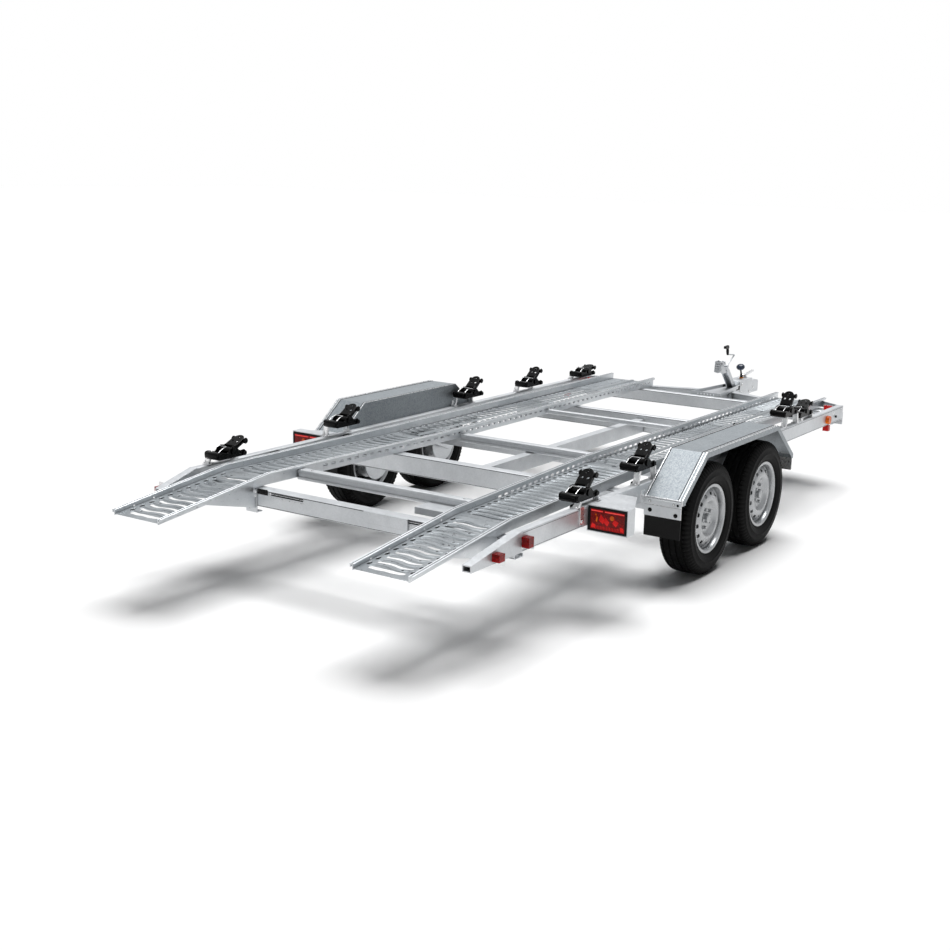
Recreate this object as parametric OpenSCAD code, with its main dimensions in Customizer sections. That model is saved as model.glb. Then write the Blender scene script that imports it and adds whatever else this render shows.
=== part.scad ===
/* [Overall] */
// Distance from the middle of the axle pair back to the ramp tips
rear_reach = 2490; // [2300:10:2700]
// Distance from the middle of the axle pair forward to the nose of the coupling
nose_reach = 3000; // [2960:10:3200]
// Distance between the two axles
axle_spacing = 680; // [660:5:720]

/* [Tracks] */
// Inner edge of the ramps, from the centre line
ramp_inner = 566; // [540:2:590]
// Clear width of the ramps
ramp_w = 282; // [260:2:300]
// Inner edge of the main track, from the centre line
deck_inner = 482; // [440:2:520]
// Clear width of the main track
deck_w = 324; // [300:2:350]
// Height of the main track's lips above the ground
deck_top = 543; // [535:1:560]
// Height of the ramp lips above the ground at their tips
tip_top = 450; // [420:1:470]
// Depth of the tracks' side rails
side_h = 59; // [52:1:66]
// How far the track floor lies below the lips
floor_drop = 38; // [30:1:42]
// Sheet thickness of the tracks
sheet = 4; // [3:0.5:5]
// Width of the folded lip on the side rails
lip_w = 16; // [12:1:20]
// Distance from one rung to the next, which is also the spacing of the side openings
rung_pitch = 60; // [50:1:80]
// Width of a slot between two rungs of the ramps
ramp_slot = 32; // [20:1:38]
// Width of a slot between two rungs of the main track
deck_slot = 20; // [14:1:30]

/* [Frame] */
// Gap between the ramps and the outer rails
rail_gap = 76; // [60:1:90]
// How far the outer rails lie below the main track's lips
rail_drop = 18; // [10:1:25]
// Depth of the outer rails
rail_h = 95; // [80:1:110]
// Width of the outer rails' flanges
rail_w = 45; // [35:1:60]
// Wall thickness of the outer rails
rail_t = 5; // [3:0.5:6]
// Wall thickness of the cross beams
beam_t = 4; // [3:0.5:6]

// Distance from the middle of the axle pair back to the left rail's rear end
left_tail = 2110; // [2050:10:2250]
// Distance from the middle of the axle pair back to the right rail's rear end
right_tail = 2250; // [2150:10:2300]

/* [Wheels] */
// Outer radius of the tyres
tyre_r = 295; // [285:1:305]
// Width of the tyres
tyre_w = 185; // [165:5:195]
// Gap between the outer rails and the tyres
wheel_gap = 22; // [18:1:30]
// Radius of the rim flanges
rim_r = 181; // [175:1:190]
// Vents in each rim
rim_vents = 14; // [8:1:16]

/* [Fenders] */
// How far the fenders reach over the tyres
fender_over = 3; // [2:1:15]
// Top of the fenders above the ground
fender_top = 662; // [650:1:680]
// Length of the fenders' flat top
fender_flat = 930; // [900:10:1000]
// Length of the fenders at their lower edge
fender_l = 1440; // [1420:10:1500]
// Height of the fenders' lower fold above the ground
fender_low = 462; // [450:1:475]
// Sheet thickness of the fenders
fender_t = 3; // [2:0.5:4]

/* [Lamps] */
// Distance from the middle of the axle pair back to the left lamp
left_lamp = 860; // [850:10:1000]
// Distance from the middle of the axle pair back to the right lamp
right_lamp = 1300; // [1200:10:1320]

/* [Coupling] */
// Radius of the coupling's ball socket
socket_r = 25.5; // [25.2:0.1:26]
// Depth of the ball socket
socket_l = 32; // [28:1:36]

/* [Lashing] */
// Places of the two rear ratchets on the left, from the middle of the axle pair
left_rear = [-1670, -740];
// Places of the two rear ratchets on the right, from the middle of the axle pair
right_rear = [-1270, -685];
// Places of the three front ratchets on the left, back from the front end of the rail
left_front = [1608, 868, 128];
// Places of the three front ratchets on the right, back from the front end of the rail
right_front = [1658, 898, 638];
// Height of the left ratchets' floors above the rail, from rear to front
left_lift = [28, 55, 55, 35, 18];
// Height of the right ratchets' floors above the rail, from rear to front
right_lift = [22, 62, 30, 58, 18];
// Angle of the left ratchets' handles as parked, from rear to front
left_tilt = [24, 32, 38, 38, 10];
// Angle of the right ratchets' handles as parked, from rear to front
right_tilt = [42, 38, 12, 50, 20];

/* [Hidden] */

fine = 64;
coarse = 32;
turned = 96;
cut = 1;
zinc = [0.80, 0.82, 0.84];
bright = [0.88, 0.89, 0.90];
black = [0.06, 0.06, 0.06];
red = [0.75, 0.04, 0.04];
amber = [0.95, 0.50, 0.05];

// Everything is laid out from the middle of the axle pair, then shifted to the middle of the length
axle_mid = (rear_reach - nose_reach) / 2;
rear_axle = -axle_spacing / 2;
front_axle = axle_spacing / 2;

// Stations along the trailer
tip_y = -rear_reach;
knee_y = -2190;
bend_y = -1760;
seam_y = -420;
deck_end = nose_reach - 738;
rail_bend = -1870;
rail_front = nose_reach - 862;
head_y = nose_reach - 394;

// Heights and widths that follow from the sizes above
bend_top = deck_top - 6;
deck_base = deck_top - side_h;
tip_depth = 27;
knee_depth = 29;
tip_drop = 18;
bend_drop = 28;
rail_top = deck_top - rail_drop;
rail_low = rail_top - rail_h;
draw_top = rail_low + 50;
ramp_outer = ramp_inner + ramp_w;
deck_outer = deck_inner + deck_w;
rail_in = ramp_outer + lip_w + rail_gap;
rail_x = rail_in + rail_w;
tyre_face = rail_x + wheel_gap + tyre_w;
fender_x = tyre_face + fender_over;
fold_h = 14;
channel_lip = 16;
corner_r = 8;

function lerp(a, b, t) = a + (b - a) * t;
function ramp_top(y) = lerp(tip_top, bend_top, (y - tip_y) / (bend_y - tip_y));
function ramp_low(y) = lerp(ramp_top(knee_y) - knee_depth, bend_top - side_h, (y - knee_y) / (bend_y - knee_y));
function track_low(y) = lerp(bend_top, deck_top, (y - bend_y) / (seam_y - bend_y)) - side_h;
function inner_x(y) = lerp(ramp_inner, deck_inner, (y - bend_y) / (seam_y - bend_y));

// Cross beams: [rear face, front face, underside, top]
rear_beam = [-1850, -1780, 385, ramp_low(-1850)];
ramp_beam = [-1560, -1510, bend_top - 69, bend_top - fold_h - 1];
rear_member = [-800, -735, 376, track_low(-800)];
axle_bar = [-215, -165, deck_top - 85, deck_top - 37];
mid_bar = [750, 785, deck_top - 53, deck_top - 25];
deep_member = [1140, 1190, 372, deck_base];
front_beam = [rail_front - 78, rail_front - 18, draw_top - 80, deck_base];

module place() {
    translate([0, axle_mid, 0]) children();
}

module both() {
    children();
    mirror([1, 0, 0]) children();
}

module both_ends() {
    children();
    mirror([0, 1, 0]) children();
}

// Raises a side view, drawn as length and height, into a plate from x0 to x1
module side_plate(x0, x1) {
    translate([x0, 0, 0]) rotate([90, 0, 90]) linear_extrude(x1 - x0) children();
}

// Raises an end view, drawn as width and height, into a length from y0 to y1
module end_plate(y0, y1) {
    translate([0, y1, 0]) rotate([90, 0, 0]) linear_extrude(y1 - y0) children();
}

// A round bar or hole lying across the trailer
module cross_rod(x0, x1, y, z, r, steps = coarse) {
    translate([x0, y, z]) rotate([0, 90, 0]) cylinder(h = x1 - x0, r = r, $fn = steps);
}

module round_rect(w, h, r) {
    translate([r, 0]) square([w - 2 * r, h]);
    translate([0, r]) square([w, h - 2 * r]);
    for (x = [r, w - r])
        for (y = [r, h - r])
            translate([x, y]) circle(r, $fn = coarse);
}

// A slot with round ends, from x0 to x1 and y to y + w
module round_slot(x0, x1, y, w) {
    translate([x0 + w / 2, y]) square([x1 - x0 - w, w]);
    for (x = [x0 + w / 2, x1 - w / 2])
        translate([x, y + w / 2]) circle(w / 2, $fn = 24);
}

// Section of a lipped channel; open is -1 at its left, 1 at its right, 0 for a closed box
module channel_section(w, h, t, open) {
    difference() {
        round_rect(w, h, corner_r);
        translate([t, t]) round_rect(w - 2 * t, h - 2 * t, corner_r - t);
        if (open < 0)
            translate([-cut, channel_lip]) square([t + 2 * cut, h - 2 * channel_lip]);
        if (open > 0)
            translate([w - t - cut, channel_lip]) square([t + 2 * cut, h - 2 * channel_lip]);
    }
}

module cross_channel(b, x0, x1, open) {
    side_plate(x0, x1)
        translate([b[0], b[2]]) channel_section(b[1] - b[0], b[3] - b[2], beam_t, open);
}

// Outer rails: channels that open inwards, closed and cut to a taper at the rear
tail_h = 30;
marker_hole_r = 8;
marker_hole_y = rail_front - 133;
marker_hole_z = rail_low + 40;

module rail_tail(end, inset, over) {
    slope = (rail_h - tail_h) / (rail_bend - end);
    side_plate(rail_in + inset, rail_x - inset) polygon([
        [end - over, rail_low + inset],
        [rail_bend + over, rail_low + inset],
        [rail_bend + over, rail_top + slope * over - inset],
        [end - over, rail_low + tail_h - slope * over - inset]
    ]);
}

module outer_rail(end) {
    difference() {
        union() {
            end_plate(rail_bend, rail_front)
                translate([rail_in, rail_low]) channel_section(rail_w, rail_h, rail_t, -1);
            difference() {
                rail_tail(end, 0, 0);
                rail_tail(end, rail_t, cut);
            }
        }
        for (y = [marker_hole_y, rail_bend + 60])
            cross_rod(rail_x - rail_t - cut, rail_x + cut, y, marker_hole_z, marker_hole_r);
    }
}

// Rear cross beam: web to the rear, with a long slot near each end
module rear_cross_beam_part() {
    slot_z = 452;
    slot_h = 14;
    difference() {
        cross_channel(rear_beam, -rail_in, rail_in, 1);
        both() translate([0, rear_beam[0] + beam_t + cut, 0]) rotate([90, 0, 0])
            linear_extrude(beam_t + 2 * cut) round_slot(254, 470, slot_z, slot_h);
    }
}

// Hangers at the rear beam: a bent plate with a foot, holding the end of each ramp
module rear_hanger() {
    t = 5;
    x0 = ramp_inner - 15;
    x1 = x0 + 71;
    low = 354;
    difference() {
        union() {
            translate([x0, rear_beam[0] - t, low]) cube([x1 - x0, t, ramp_low(rear_beam[0]) - low - 2]);
            translate([x0, rear_beam[0] - t, low]) cube([x1 - x0, 40, t]);
        }
        for (z = [372, 392])
            translate([x1 - 24, rear_beam[0] + cut, z]) rotate([90, 0, 0])
                cylinder(h = t + 2 * cut, r = 4, $fn = coarse);
    }
}

// A stiffener across the rear beam's web, and a folded shelf behind the ramp cross member
module rear_plates_part() {
    translate([116, rear_beam[0] - 8, 420]) cube([254, 8, 52]);
    shelf_low = ramp_beam[2] - 18;
    difference() {
        translate([278, ramp_beam[0] - 120, shelf_low]) cube([170, 120, 32]);
        translate([282, ramp_beam[0] - 116, shelf_low - cut]) cube([162, 112, 29]);
    }
}

// Centre beam: a closed box that saddles the front axle tube
hub_z = tyre_r;
tube_back = 185;
tube_z = rail_low - 55;
tube_half = 30;

module centre_beam_part() {
    half = 28;
    top = axle_bar[2];
    low = top - 82;
    difference() {
        side_plate(-half, half) square_at(rear_member[1], deep_member[0], low, top);
        side_plate(beam_t - half, half - beam_t)
            square_at(rear_member[1] - cut, deep_member[0] + cut, low + beam_t, top - beam_t);
        for (y = [rear_axle, front_axle])
            side_plate(-half - cut, half + cut)
                square_at(y - tube_back - tube_half - 2, y - tube_back + tube_half + 2,
                    low - cut, tube_z + tube_half + 1);
    }
}

module square_at(y0, y1, z0, z1) {
    translate([y0, z0]) square([y1 - y0, z1 - z0]);
}

// Arms from the rails' front ends to the drawbar: channels open to the rear
arm_low = draw_top - 82;
arm_top = draw_top - 2;
arm_front = head_y - 140;
arm_rear = head_y - 202;
drawbar_half = 50;

function arm_rear_y(x) = lerp(arm_rear, rail_front, (x - drawbar_half) / (rail_in - 44 - drawbar_half));
function arm_front_y(x) = lerp(arm_front, rail_front + 14, (x - drawbar_half) / (rail_x - drawbar_half));

module front_arm() {
    t = 5;
    near = drawbar_half + 12;
    far = rail_in - 60;
    difference() {
        translate([0, 0, arm_low]) linear_extrude(arm_top - arm_low) polygon([
            [drawbar_half, arm_rear], [rail_in - 44, rail_front], [rail_x, rail_front],
            [rail_x, rail_front + 14], [drawbar_half, arm_front]
        ]);
        translate([0, 0, arm_low + t]) linear_extrude(arm_top - arm_low - 2 * t) polygon([
            [near, arm_rear_y(near) - t], [far, arm_rear_y(far) - t],
            [far, arm_front_y(far) - t - 1], [near, arm_front_y(near) - t - 1]
        ]);
    }
}

// Corner plates from the rails' front ends up to the tracks
module front_corner() {
    t = 6;
    x0 = deck_outer + sheet;
    near = deck_end - 36;
    translate([0, 0, rail_top - 41]) linear_extrude(40) polygon([
        [x0, near], [rail_in, rail_front + 1], [rail_in, rail_front], [rail_x, rail_front],
        [rail_x, rail_front + t], [rail_in, rail_front + 2 * t], [x0, near + t]
    ]);
}

// Drawbar: a box between the front beam and the coupling
module drawbar_part() {
    t = 5;
    low = draw_top - 78;
    top = draw_top;
    difference() {
        side_plate(-drawbar_half, drawbar_half) square_at(front_beam[1], head_y, low, top);
        side_plate(t - drawbar_half, drawbar_half - t) square_at(front_beam[1] - cut, head_y - 20, low + t, top - t);
    }
}

// Head plate: a tray on the drawbar with upright edges, slotted across its rear end
module head_plate_part() {
    t = 5;
    rear = front_beam[1] + 8;
    front = head_y - 2;
    w_rear = 110;
    w_front = 52;
    low = draw_top;
    top = draw_top + 26;
    difference() {
        translate([0, 0, low]) linear_extrude(top - low)
            polygon([[-w_rear, rear], [w_rear, rear], [w_front, front], [-w_front, front]]);
        translate([0, 0, low + t]) linear_extrude(top - low)
            polygon([[t - w_rear, rear + t], [w_rear - t, rear + t], [w_front - t, front + cut], [t - w_front, front + cut]]);
        for (i = [-2.5 : 1 : 2.5])
            translate([i * 24 - 5, rear - cut, low + t + 3]) cube([10, t + 2 * cut, 9]);
    }
}

// Track stations: [y, inner x, outer x, top z, depth of the side rails]
stations = [
    [tip_y, ramp_inner, ramp_outer, tip_top, tip_depth],
    [knee_y, ramp_inner, ramp_outer, ramp_top(knee_y), knee_depth],
    [bend_y, ramp_inner, ramp_outer, bend_top, side_h],
    [seam_y, deck_inner, deck_outer, deck_top, side_h],
    [deck_end, deck_inner, deck_outer, deck_top, side_h]
];

// A straight-sided prism between two upright rectangles, each [x0, x1, z0, z1]
module prism(y0, y1, p, q) {
    polyhedron(
        points = [
            [p[0], y0, p[2]], [p[1], y0, p[2]], [p[1], y0, p[3]], [p[0], y0, p[3]],
            [q[0], y1, q[2]], [q[1], y1, q[2]], [q[1], y1, q[3]], [q[0], y1, q[3]]
        ],
        faces = [[3, 2, 1, 0], [5, 6, 7, 4], [1, 5, 4, 0], [2, 6, 5, 1], [3, 7, 6, 2], [0, 4, 7, 3]]
    );
}

// A strip along a side rail, from near to far outside its inner face, and down to a depth or to the rail's own
module rail_strip(edge, near, far, depth) {
    for (i = [0 : len(stations) - 2]) {
        a = stations[i];
        b = stations[i + 1];
        deep_a = depth > 0 ? depth : a[4];
        deep_b = depth > 0 ? depth : b[4];
        x0 = edge == 1 ? -far : near;
        x1 = edge == 1 ? -near : far;
        prism(a[0], b[0],
            [a[edge] + x0, a[edge] + x1, a[3] - deep_a, a[3]],
            [b[edge] + x0, b[edge] + x1, b[3] - deep_b, b[3]]);
    }
}

// Side openings: a row just above the floor, one for each rung
module side_openings() {
    open_l = 34;
    open_h = 12;
    first = -1370;
    n = floor((deck_end - 30 - first) / rung_pitch);
    for (i = [0 : n - 1]) {
        y = first + i * rung_pitch;
        x0 = (y < seam_y ? inner_x(y) : deck_inner) - 40;
        translate([x0, y, track_low(min(y, seam_y)) + 24]) cube([60, open_l, open_h]);
    }
}

module ramp_holes() {
    for (y = [-2370 : 125 : -1870])
        for (x = [ramp_inner - 20, ramp_outer - 20])
            cross_rod(x, x + 40, y, ramp_top(y) - 20, 5);
}

module side_rail(edge) {
    difference() {
        union() {
            rail_strip(edge, 0, sheet, 0);
            rail_strip(edge, 0, lip_w, sheet);
            rail_strip(edge, lip_w - sheet, lip_w, fold_h);
            gusset(edge);
        }
        if (edge == 1)
            side_openings();
        ramp_holes();
    }
}

// Web plate that deepens each side rail of the ramp towards the rear beam
module gusset(edge) {
    front = rear_beam[0] - 6;
    x0 = edge == 1 ? ramp_inner - sheet : ramp_outer;
    side_plate(x0, x0 + sheet) polygon([
        [knee_y, ramp_low(knee_y) + 2], [knee_y, ramp_low(knee_y)], [front, 378], [front, ramp_low(front) + 2]
    ]);
}

module track_rails() {
    side_rail(1);
    side_rail(2);
}

// Plan of a plank: slots with round ends between rungs, and a round hole at both ends of each rung
module plank_plan(length, w0, w1, skew, slot) {
    edge = 36;
    hole_r = 6;
    first = 44;
    n = floor((length - first - 20) / rung_pitch);
    difference() {
        polygon([[-w0 / 2, 0], [w0 / 2, 0], [skew * length + w1 / 2, length], [skew * length - w1 / 2, length]]);
        for (i = [0 : n - 1]) {
            y = first + i * rung_pitch;
            mid = skew * y;
            half = lerp(w0, w1, y / length) / 2;
            round_slot(mid - half + edge, mid + half - edge, y, slot);
            for (s = [-1, 1])
                translate([mid + s * (half - edge / 2), y + slot / 2]) circle(hole_r, $fn = 24);
        }
    }
}

// A floor plank between two stations, a little short at both ends and along both sides
module plank(a, b, drop_a, drop_b, slot) {
    gap = 1;
    clear = 0.5;
    rise = b[3] - drop_b - a[3] + drop_a;
    run = b[0] - a[0];
    length = sqrt(rise * rise + run * run) - 2 * gap;
    mid_a = (a[1] + a[2]) / 2;
    mid_b = (b[1] + b[2]) / 2;
    translate([mid_a, a[0], a[3] - drop_a])
        rotate([atan2(rise, run), 0, 0]) translate([0, gap, -sheet]) linear_extrude(sheet)
            plank_plan(length, a[2] - a[1] - 2 * clear, b[2] - b[1] - 2 * clear, (mid_b - mid_a) / length, slot);
}

module ramp_floor() {
    plank(stations[0], stations[2], tip_drop, bend_drop, ramp_slot);
    plank(stations[2], stations[3], bend_drop, floor_drop, deck_slot);
}

// Main floor: two rows of slots beside a raised ridge
module deck_floor() {
    edge = 24;
    ridge = 26;
    ridge_h = 6;
    length = deck_end - seam_y - 1;
    half = (deck_outer - deck_inner) / 2;
    n = floor((length - 40) / rung_pitch);
    translate([deck_inner + half, seam_y + 1, deck_top - floor_drop - sheet]) {
        linear_extrude(sheet) difference() {
            translate([-half, 0]) square([2 * half, length]);
            for (i = [0 : n - 1]) {
                y = 30 + i * rung_pitch;
                round_slot(edge - half, -ridge, y, deck_slot);
                round_slot(ridge, half - edge, y, deck_slot);
            }
        }
        end_plate(0, length) polygon([
            [-14, sheet - 2], [14, sheet - 2], [14, sheet], [8, sheet + ridge_h], [-8, sheet + ridge_h], [-14, sheet]
        ]);
    }
}

// Fenders: sheet bent to a flat top, two slopes and two short ends, with an outer lip and an inner apron
fender_foot = fender_low - 24;
fender_slope = atan2(fender_top - fender_low, (fender_l - fender_flat) / 2);

// The fender's side view, moved inwards by t
function fender_edge(t, base) = [
    [t - fender_l / 2, base],
    [t - fender_l / 2, fender_low - t * tan(45 - fender_slope / 2)],
    [t * tan(fender_slope / 2) - fender_flat / 2, fender_top - t],
    [fender_flat / 2 - t * tan(fender_slope / 2), fender_top - t],
    [fender_l / 2 - t, fender_low - t * tan(45 - fender_slope / 2)],
    [fender_l / 2 - t, base]
];

module fender_band(t) {
    difference() {
        polygon(fender_edge(0, fender_foot));
        polygon(fender_edge(t, fender_foot - cut));
    }
}

module fender() {
    lip = 26;
    apron_low = rail_top - 25;
    side_plate(rail_x, fender_x) fender_band(fender_t);
    side_plate(fender_x - fender_t, fender_x) fender_band(lip);
    side_plate(rail_x, rail_x + fender_t) difference() {
        polygon(fender_edge(0, fender_foot));
        translate([-fender_l, fender_foot - cut]) square([2 * fender_l, apron_low - fender_foot + cut]);
    }
}

// Fender brackets: a plate at each end with a flange on the outer rail
bracket_t = 4;
bracket_low = fender_foot - 72;

module fender_brackets_side() {
    flange = 46;
    both_ends() {
        translate([rail_x, fender_l / 2, bracket_low])
            cube([fender_x - rail_x - 8, bracket_t, fender_low - 6 - bracket_low]);
        translate([rail_x, fender_l / 2, rail_low + 6]) cube([bracket_t, flange, rail_h - 36]);
    }
}

module mud_flap_side() {
    low = bracket_low - 104;
    translate([rail_x + 2, -fender_l / 2, low])
        cube([fender_x - rail_x - 12, bracket_t, fender_foot - 18 - low]);
}

// Running gear: two square tubes under the rails, each with a trailing arm and a spindle at both ends
arm_x = rail_in - 10;
arm_w = 30;
spindle_r = 20;
spindle_end = tyre_face - 112;
drum_x = rail_x + 12;

module axle_tubes_part() {
    seat = 70;
    for (y = [rear_axle - tube_back, front_axle - tube_back]) {
        translate([-arm_x, y - tube_half, tube_z - tube_half])
            cube([2 * arm_x, 2 * tube_half, 2 * tube_half]);
        both() {
            translate([rail_in - seat, y - 50, tube_z + tube_half])
                cube([seat - 15, 100, rail_low - tube_z - tube_half - 8]);
            translate([rail_in - seat, y - 60, rail_low - 8]) cube([seat + rail_w, 120, 8]);
        }
    }
}

module swing_arm_at(y) {
    plate_r = 112;
    translate([arm_x, 0, 0]) rotate([90, 0, 90]) linear_extrude(arm_w) hull() {
        translate([y - tube_back, tube_z]) circle(tube_half + 10, $fn = coarse);
        translate([y, hub_z]) circle(spindle_r + 12, $fn = coarse);
    }
    cross_rod(arm_x + arm_w, spindle_end, y, hub_z, spindle_r, fine);
    cross_rod(rail_x + 3, rail_x + 9, y, hub_z, plate_r, fine);
}

// Tyre: a rounded section with four grooves; places on the section run from the bead to the tread
bead_r = rim_r - 15;
bead_in = 23;
flange_t = 6;

function tyre_at(t) = lerp(bead_r, tyre_r, t);

// Half of the section, on the side that s gives, from the bead to the tread
function tyre_side(s) = [for (p = [
    [bead_r, bead_in + 2], [rim_r + 2, bead_in], [rim_r + 5, 14], [tyre_at(0.3), 4], [tyre_at(0.44), 0],
    [tyre_at(0.58), 1], [tyre_at(0.72), 5], [tyre_at(0.84), 10], [tyre_at(0.93), 17], [tyre_at(0.98), 28],
    [tyre_r, 42]
]) [p[0], s * (tyre_w / 2 - p[1])]];

module tyre_section() {
    far = tyre_side(-1);
    polygon(concat(tyre_side(1), [for (i = [len(far) - 1 : -1 : 0]) far[i]]));
}

module tyre(y) {
    groove_w = 8;
    groove_h = 8;
    translate([tyre_face - tyre_w / 2, y, tyre_r]) rotate([0, 90, 0])
        difference() {
            rotate_extrude($fn = turned) tyre_section();
            for (z = [-42, -14, 14, 42])
                translate([0, 0, z]) rotate_extrude($fn = turned)
                    translate([tyre_r - groove_h, -groove_w / 2]) square([groove_h + 2, groove_w]);
        }
}

// Rim: a barrel with two flanges, a domed disc with vents, and the brake drum behind it
module rim(y) {
    face = tyre_face - 16;
    back = tyre_face - tyre_w + 16;
    skin = 5;
    well = 14;
    hub_r = 60;
    drum_r = 112;
    vent_ring = bead_r - 34;
    vent_r = 9;
    vent_half = 5;
    translate([0, y, tyre_r]) rotate([0, 90, 0]) {
        rotate_extrude($fn = turned) polygon([
            [rim_r, back], [rim_r, back + flange_t], [bead_r, back + flange_t], [bead_r, back + 40],
            [bead_r - well, back + 54], [bead_r - well, face - 50], [bead_r, face - 36],
            [bead_r, face - flange_t], [rim_r, face - flange_t], [rim_r, face],
            [rim_r - 8, face], [bead_r - skin, face - 10], [bead_r - skin, face - 38],
            [bead_r - well - skin, face - 52], [bead_r - well - skin, back + 56],
            [bead_r - skin, back + 42], [bead_r - skin, back + 8], [rim_r - 8, back]
        ]);
        difference() {
            rotate_extrude($fn = turned) polygon([
                [34, face - 58], [74, face - 58], [86, face - 45], [106, face - 39], [122, face - 41],
                [138, face - 52], [bead_r - 16, face - 62], [bead_r - 16, face - 68], [136, face - 58],
                [120, face - 47], [106, face - 45], [89, face - 51], [76, face - 64], [34, face - 64]
            ]);
            for (i = [0 : rim_vents - 1])
                rotate([0, 0, i * 360 / rim_vents]) translate([vent_ring, 0, face - 80]) {
                    for (t = [-vent_half, vent_half])
                        translate([0, t, 0]) cylinder(h = 60, r = vent_r, $fn = 24);
                    translate([-vent_r, -vent_half, 0]) cube([2 * vent_r, 2 * vent_half, 60]);
                }
        }
        rotate_extrude($fn = turned) polygon([
            [spindle_r + 1, drum_x], [drum_r, drum_x], [drum_r, face - 96], [hub_r, face - 88],
            [hub_r, face - 63], [spindle_r + 1, face - 63]
        ]);
        rotate_extrude($fn = fine) polygon([
            [0, face - 72], [30, face - 72], [30, face - 46], [24, face - 41], [0, face - 41]
        ]);
    }
}

// Overrun housing and ball coupling, with the lever's lugs on top
housing_end = nose_reach - 170;
housing_top = draw_top + 52;
lever_y = nose_reach - 215;
lever_z = housing_top + 16;
lever_r = 8;
lug_in = 14;
lug_t = 6;

module overrun_housing_part() {
    t = 6;
    half = 52;
    low = draw_top - 68;
    difference() {
        side_plate(-half, half) polygon([
            [head_y, low], [head_y, housing_top - 4], [head_y + 30, housing_top], [housing_end, housing_top],
            [housing_end, low + 16], [housing_end - 60, low]
        ]);
        side_plate(t - half, half - t) polygon([
            [head_y + t, low - cut], [head_y + t, housing_top - 12], [housing_end - t, housing_top - 12],
            [housing_end - t, low + 20], [housing_end - 64, low - cut]
        ]);
    }
    both() side_plate(lug_in, lug_in + lug_t) difference() {
        union() {
            translate([lever_y, lever_z]) circle(lever_r + 7, $fn = coarse);
            square_at(lever_y - lever_r - 7, lever_y + lever_r + 7, housing_top - 2, lever_z);
        }
        translate([lever_y, lever_z]) circle(lever_r + 0.5, $fn = coarse);
    }
}

module ball_coupling_part() {
    half = 44;
    low = draw_top - 62;
    nose_r = 44;
    difference() {
        intersection() {
            side_plate(-half, half) polygon([
                [housing_end, low], [housing_end, low + 88], [nose_reach - 110, low + 96],
                [nose_reach - 40, low + 82], [nose_reach, low + 56], [nose_reach, low]
            ]);
            translate([0, 0, low - cut]) linear_extrude(200) union() {
                translate([-half, housing_end - cut]) square([2 * half, nose_reach - nose_r - housing_end + cut]);
                translate([0, nose_reach - nose_r]) circle(nose_r, $fn = fine);
            }
        }
        translate([0, nose_reach - 52, low - cut]) cylinder(h = socket_l + cut, r = socket_r, $fn = fine);
    }
}

module coupling_lever_part() {
    reach = 172;
    cross_rod(-lug_in - lug_t - 4, lug_in + lug_t + 4, lever_y, lever_z, lever_r);
    side_plate(-10, 10) polygon([
        [lever_y - 6, lever_z - 6], [lever_y + 30, lever_z - 5], [lever_y + reach, lever_z + 14],
        [lever_y + reach, lever_z + 24], [lever_y + 20, lever_z + 7], [lever_y - 6, lever_z + 6]
    ]);
}

module brake_knob_part() {
    lean = 19;
    foot_y = nose_reach - 252;
    translate([-16, foot_y - 16, housing_top]) cube([32, 32, 6]);
    translate([0, foot_y, housing_top + 4]) rotate([lean, 0, 0]) {
        cylinder(h = 76, r = 6, $fn = coarse);
        translate([0, 0, 66]) rotate_extrude($fn = coarse)
            polygon([[0, 0], [12, 0], [28, 12], [33, 24], [30, 34], [16, 42], [0, 44]]);
    }
}

// Winch: a leaning channel on the head plate, a body with a drum, and a bent crank
winch_y = head_y - 256;
winch_z = draw_top + 190;
post_foot = draw_top + 5;

module winch_post_part() {
    t = 5;
    half = 26;
    foot_front = head_y - 8;
    foot_rear = foot_front - 48;
    lean = 150;
    top = winch_z - 28;
    difference() {
        side_plate(-half, half) polygon([
            [foot_rear, post_foot], [foot_front, post_foot], [foot_front - lean, top], [foot_rear - lean, top]
        ]);
        side_plate(t - half, half - t) polygon([
            [foot_rear - 20, post_foot - cut], [foot_front - 7, post_foot - cut],
            [foot_front - 7 - lean, top + cut], [foot_rear - 20 - lean, top + cut]
        ]);
    }
}

module winch_body_part() {
    half = 26;
    t = 5;
    y = winch_y;
    z = winch_z;
    both() side_plate(half, half + t) polygon([
        [y - 52, z - 44], [y + 10, z - 60], [y + 96, z - 60], [y + 78, z - 24], [y + 34, z + 40], [y - 38, z + 56]
    ]);
    cross_rod(-half, half, y, z, 18);
    cross_rod(-half, half, y + 32, z + 26, 7);
    side_plate(-half - t, half + t) polygon([
        [y - 56, z - 44], [y - 51, z - 44], [y - 37, z + 56], [y - 42, z + 56]
    ]);
}

// A round bar between two points of a side view, at a place across the trailer
module side_bar(x, a, b, r) {
    d = b - a;
    translate([x, a[0], a[1]]) rotate([-atan2(d[0], d[1]), 0, 0]) cylinder(h = norm(d), r = r, $fn = 24);
}

module winch_crank_part() {
    x = 50;
    bar_r = 6;
    grip_r = 11;
    axis = [winch_y, winch_z];
    elbow = axis + [123, 68];
    hand = axis + [4, 84];
    cross_rod(31.5, x + bar_r + 2, axis[0], axis[1], 8);
    side_bar(x, axis, elbow, bar_r);
    cross_rod(x - bar_r - 1, x + bar_r + 1, elbow[0], elbow[1], bar_r + 1);
    side_bar(x, elbow, hand, bar_r);
    side_bar(x, hand, hand + [-14, 66], grip_r);
    side_plate(x - 10, x + 10) translate(hand + [-58, 46]) square([62, 20]);
}

// Rear lamps: an open box on each side with a lens in it, and its plates on the outer rail
lamp_deep = 70;
lamp_low = rail_low - 22;
lamp_high = rail_top + 7;
lamp_t = 4;

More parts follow.
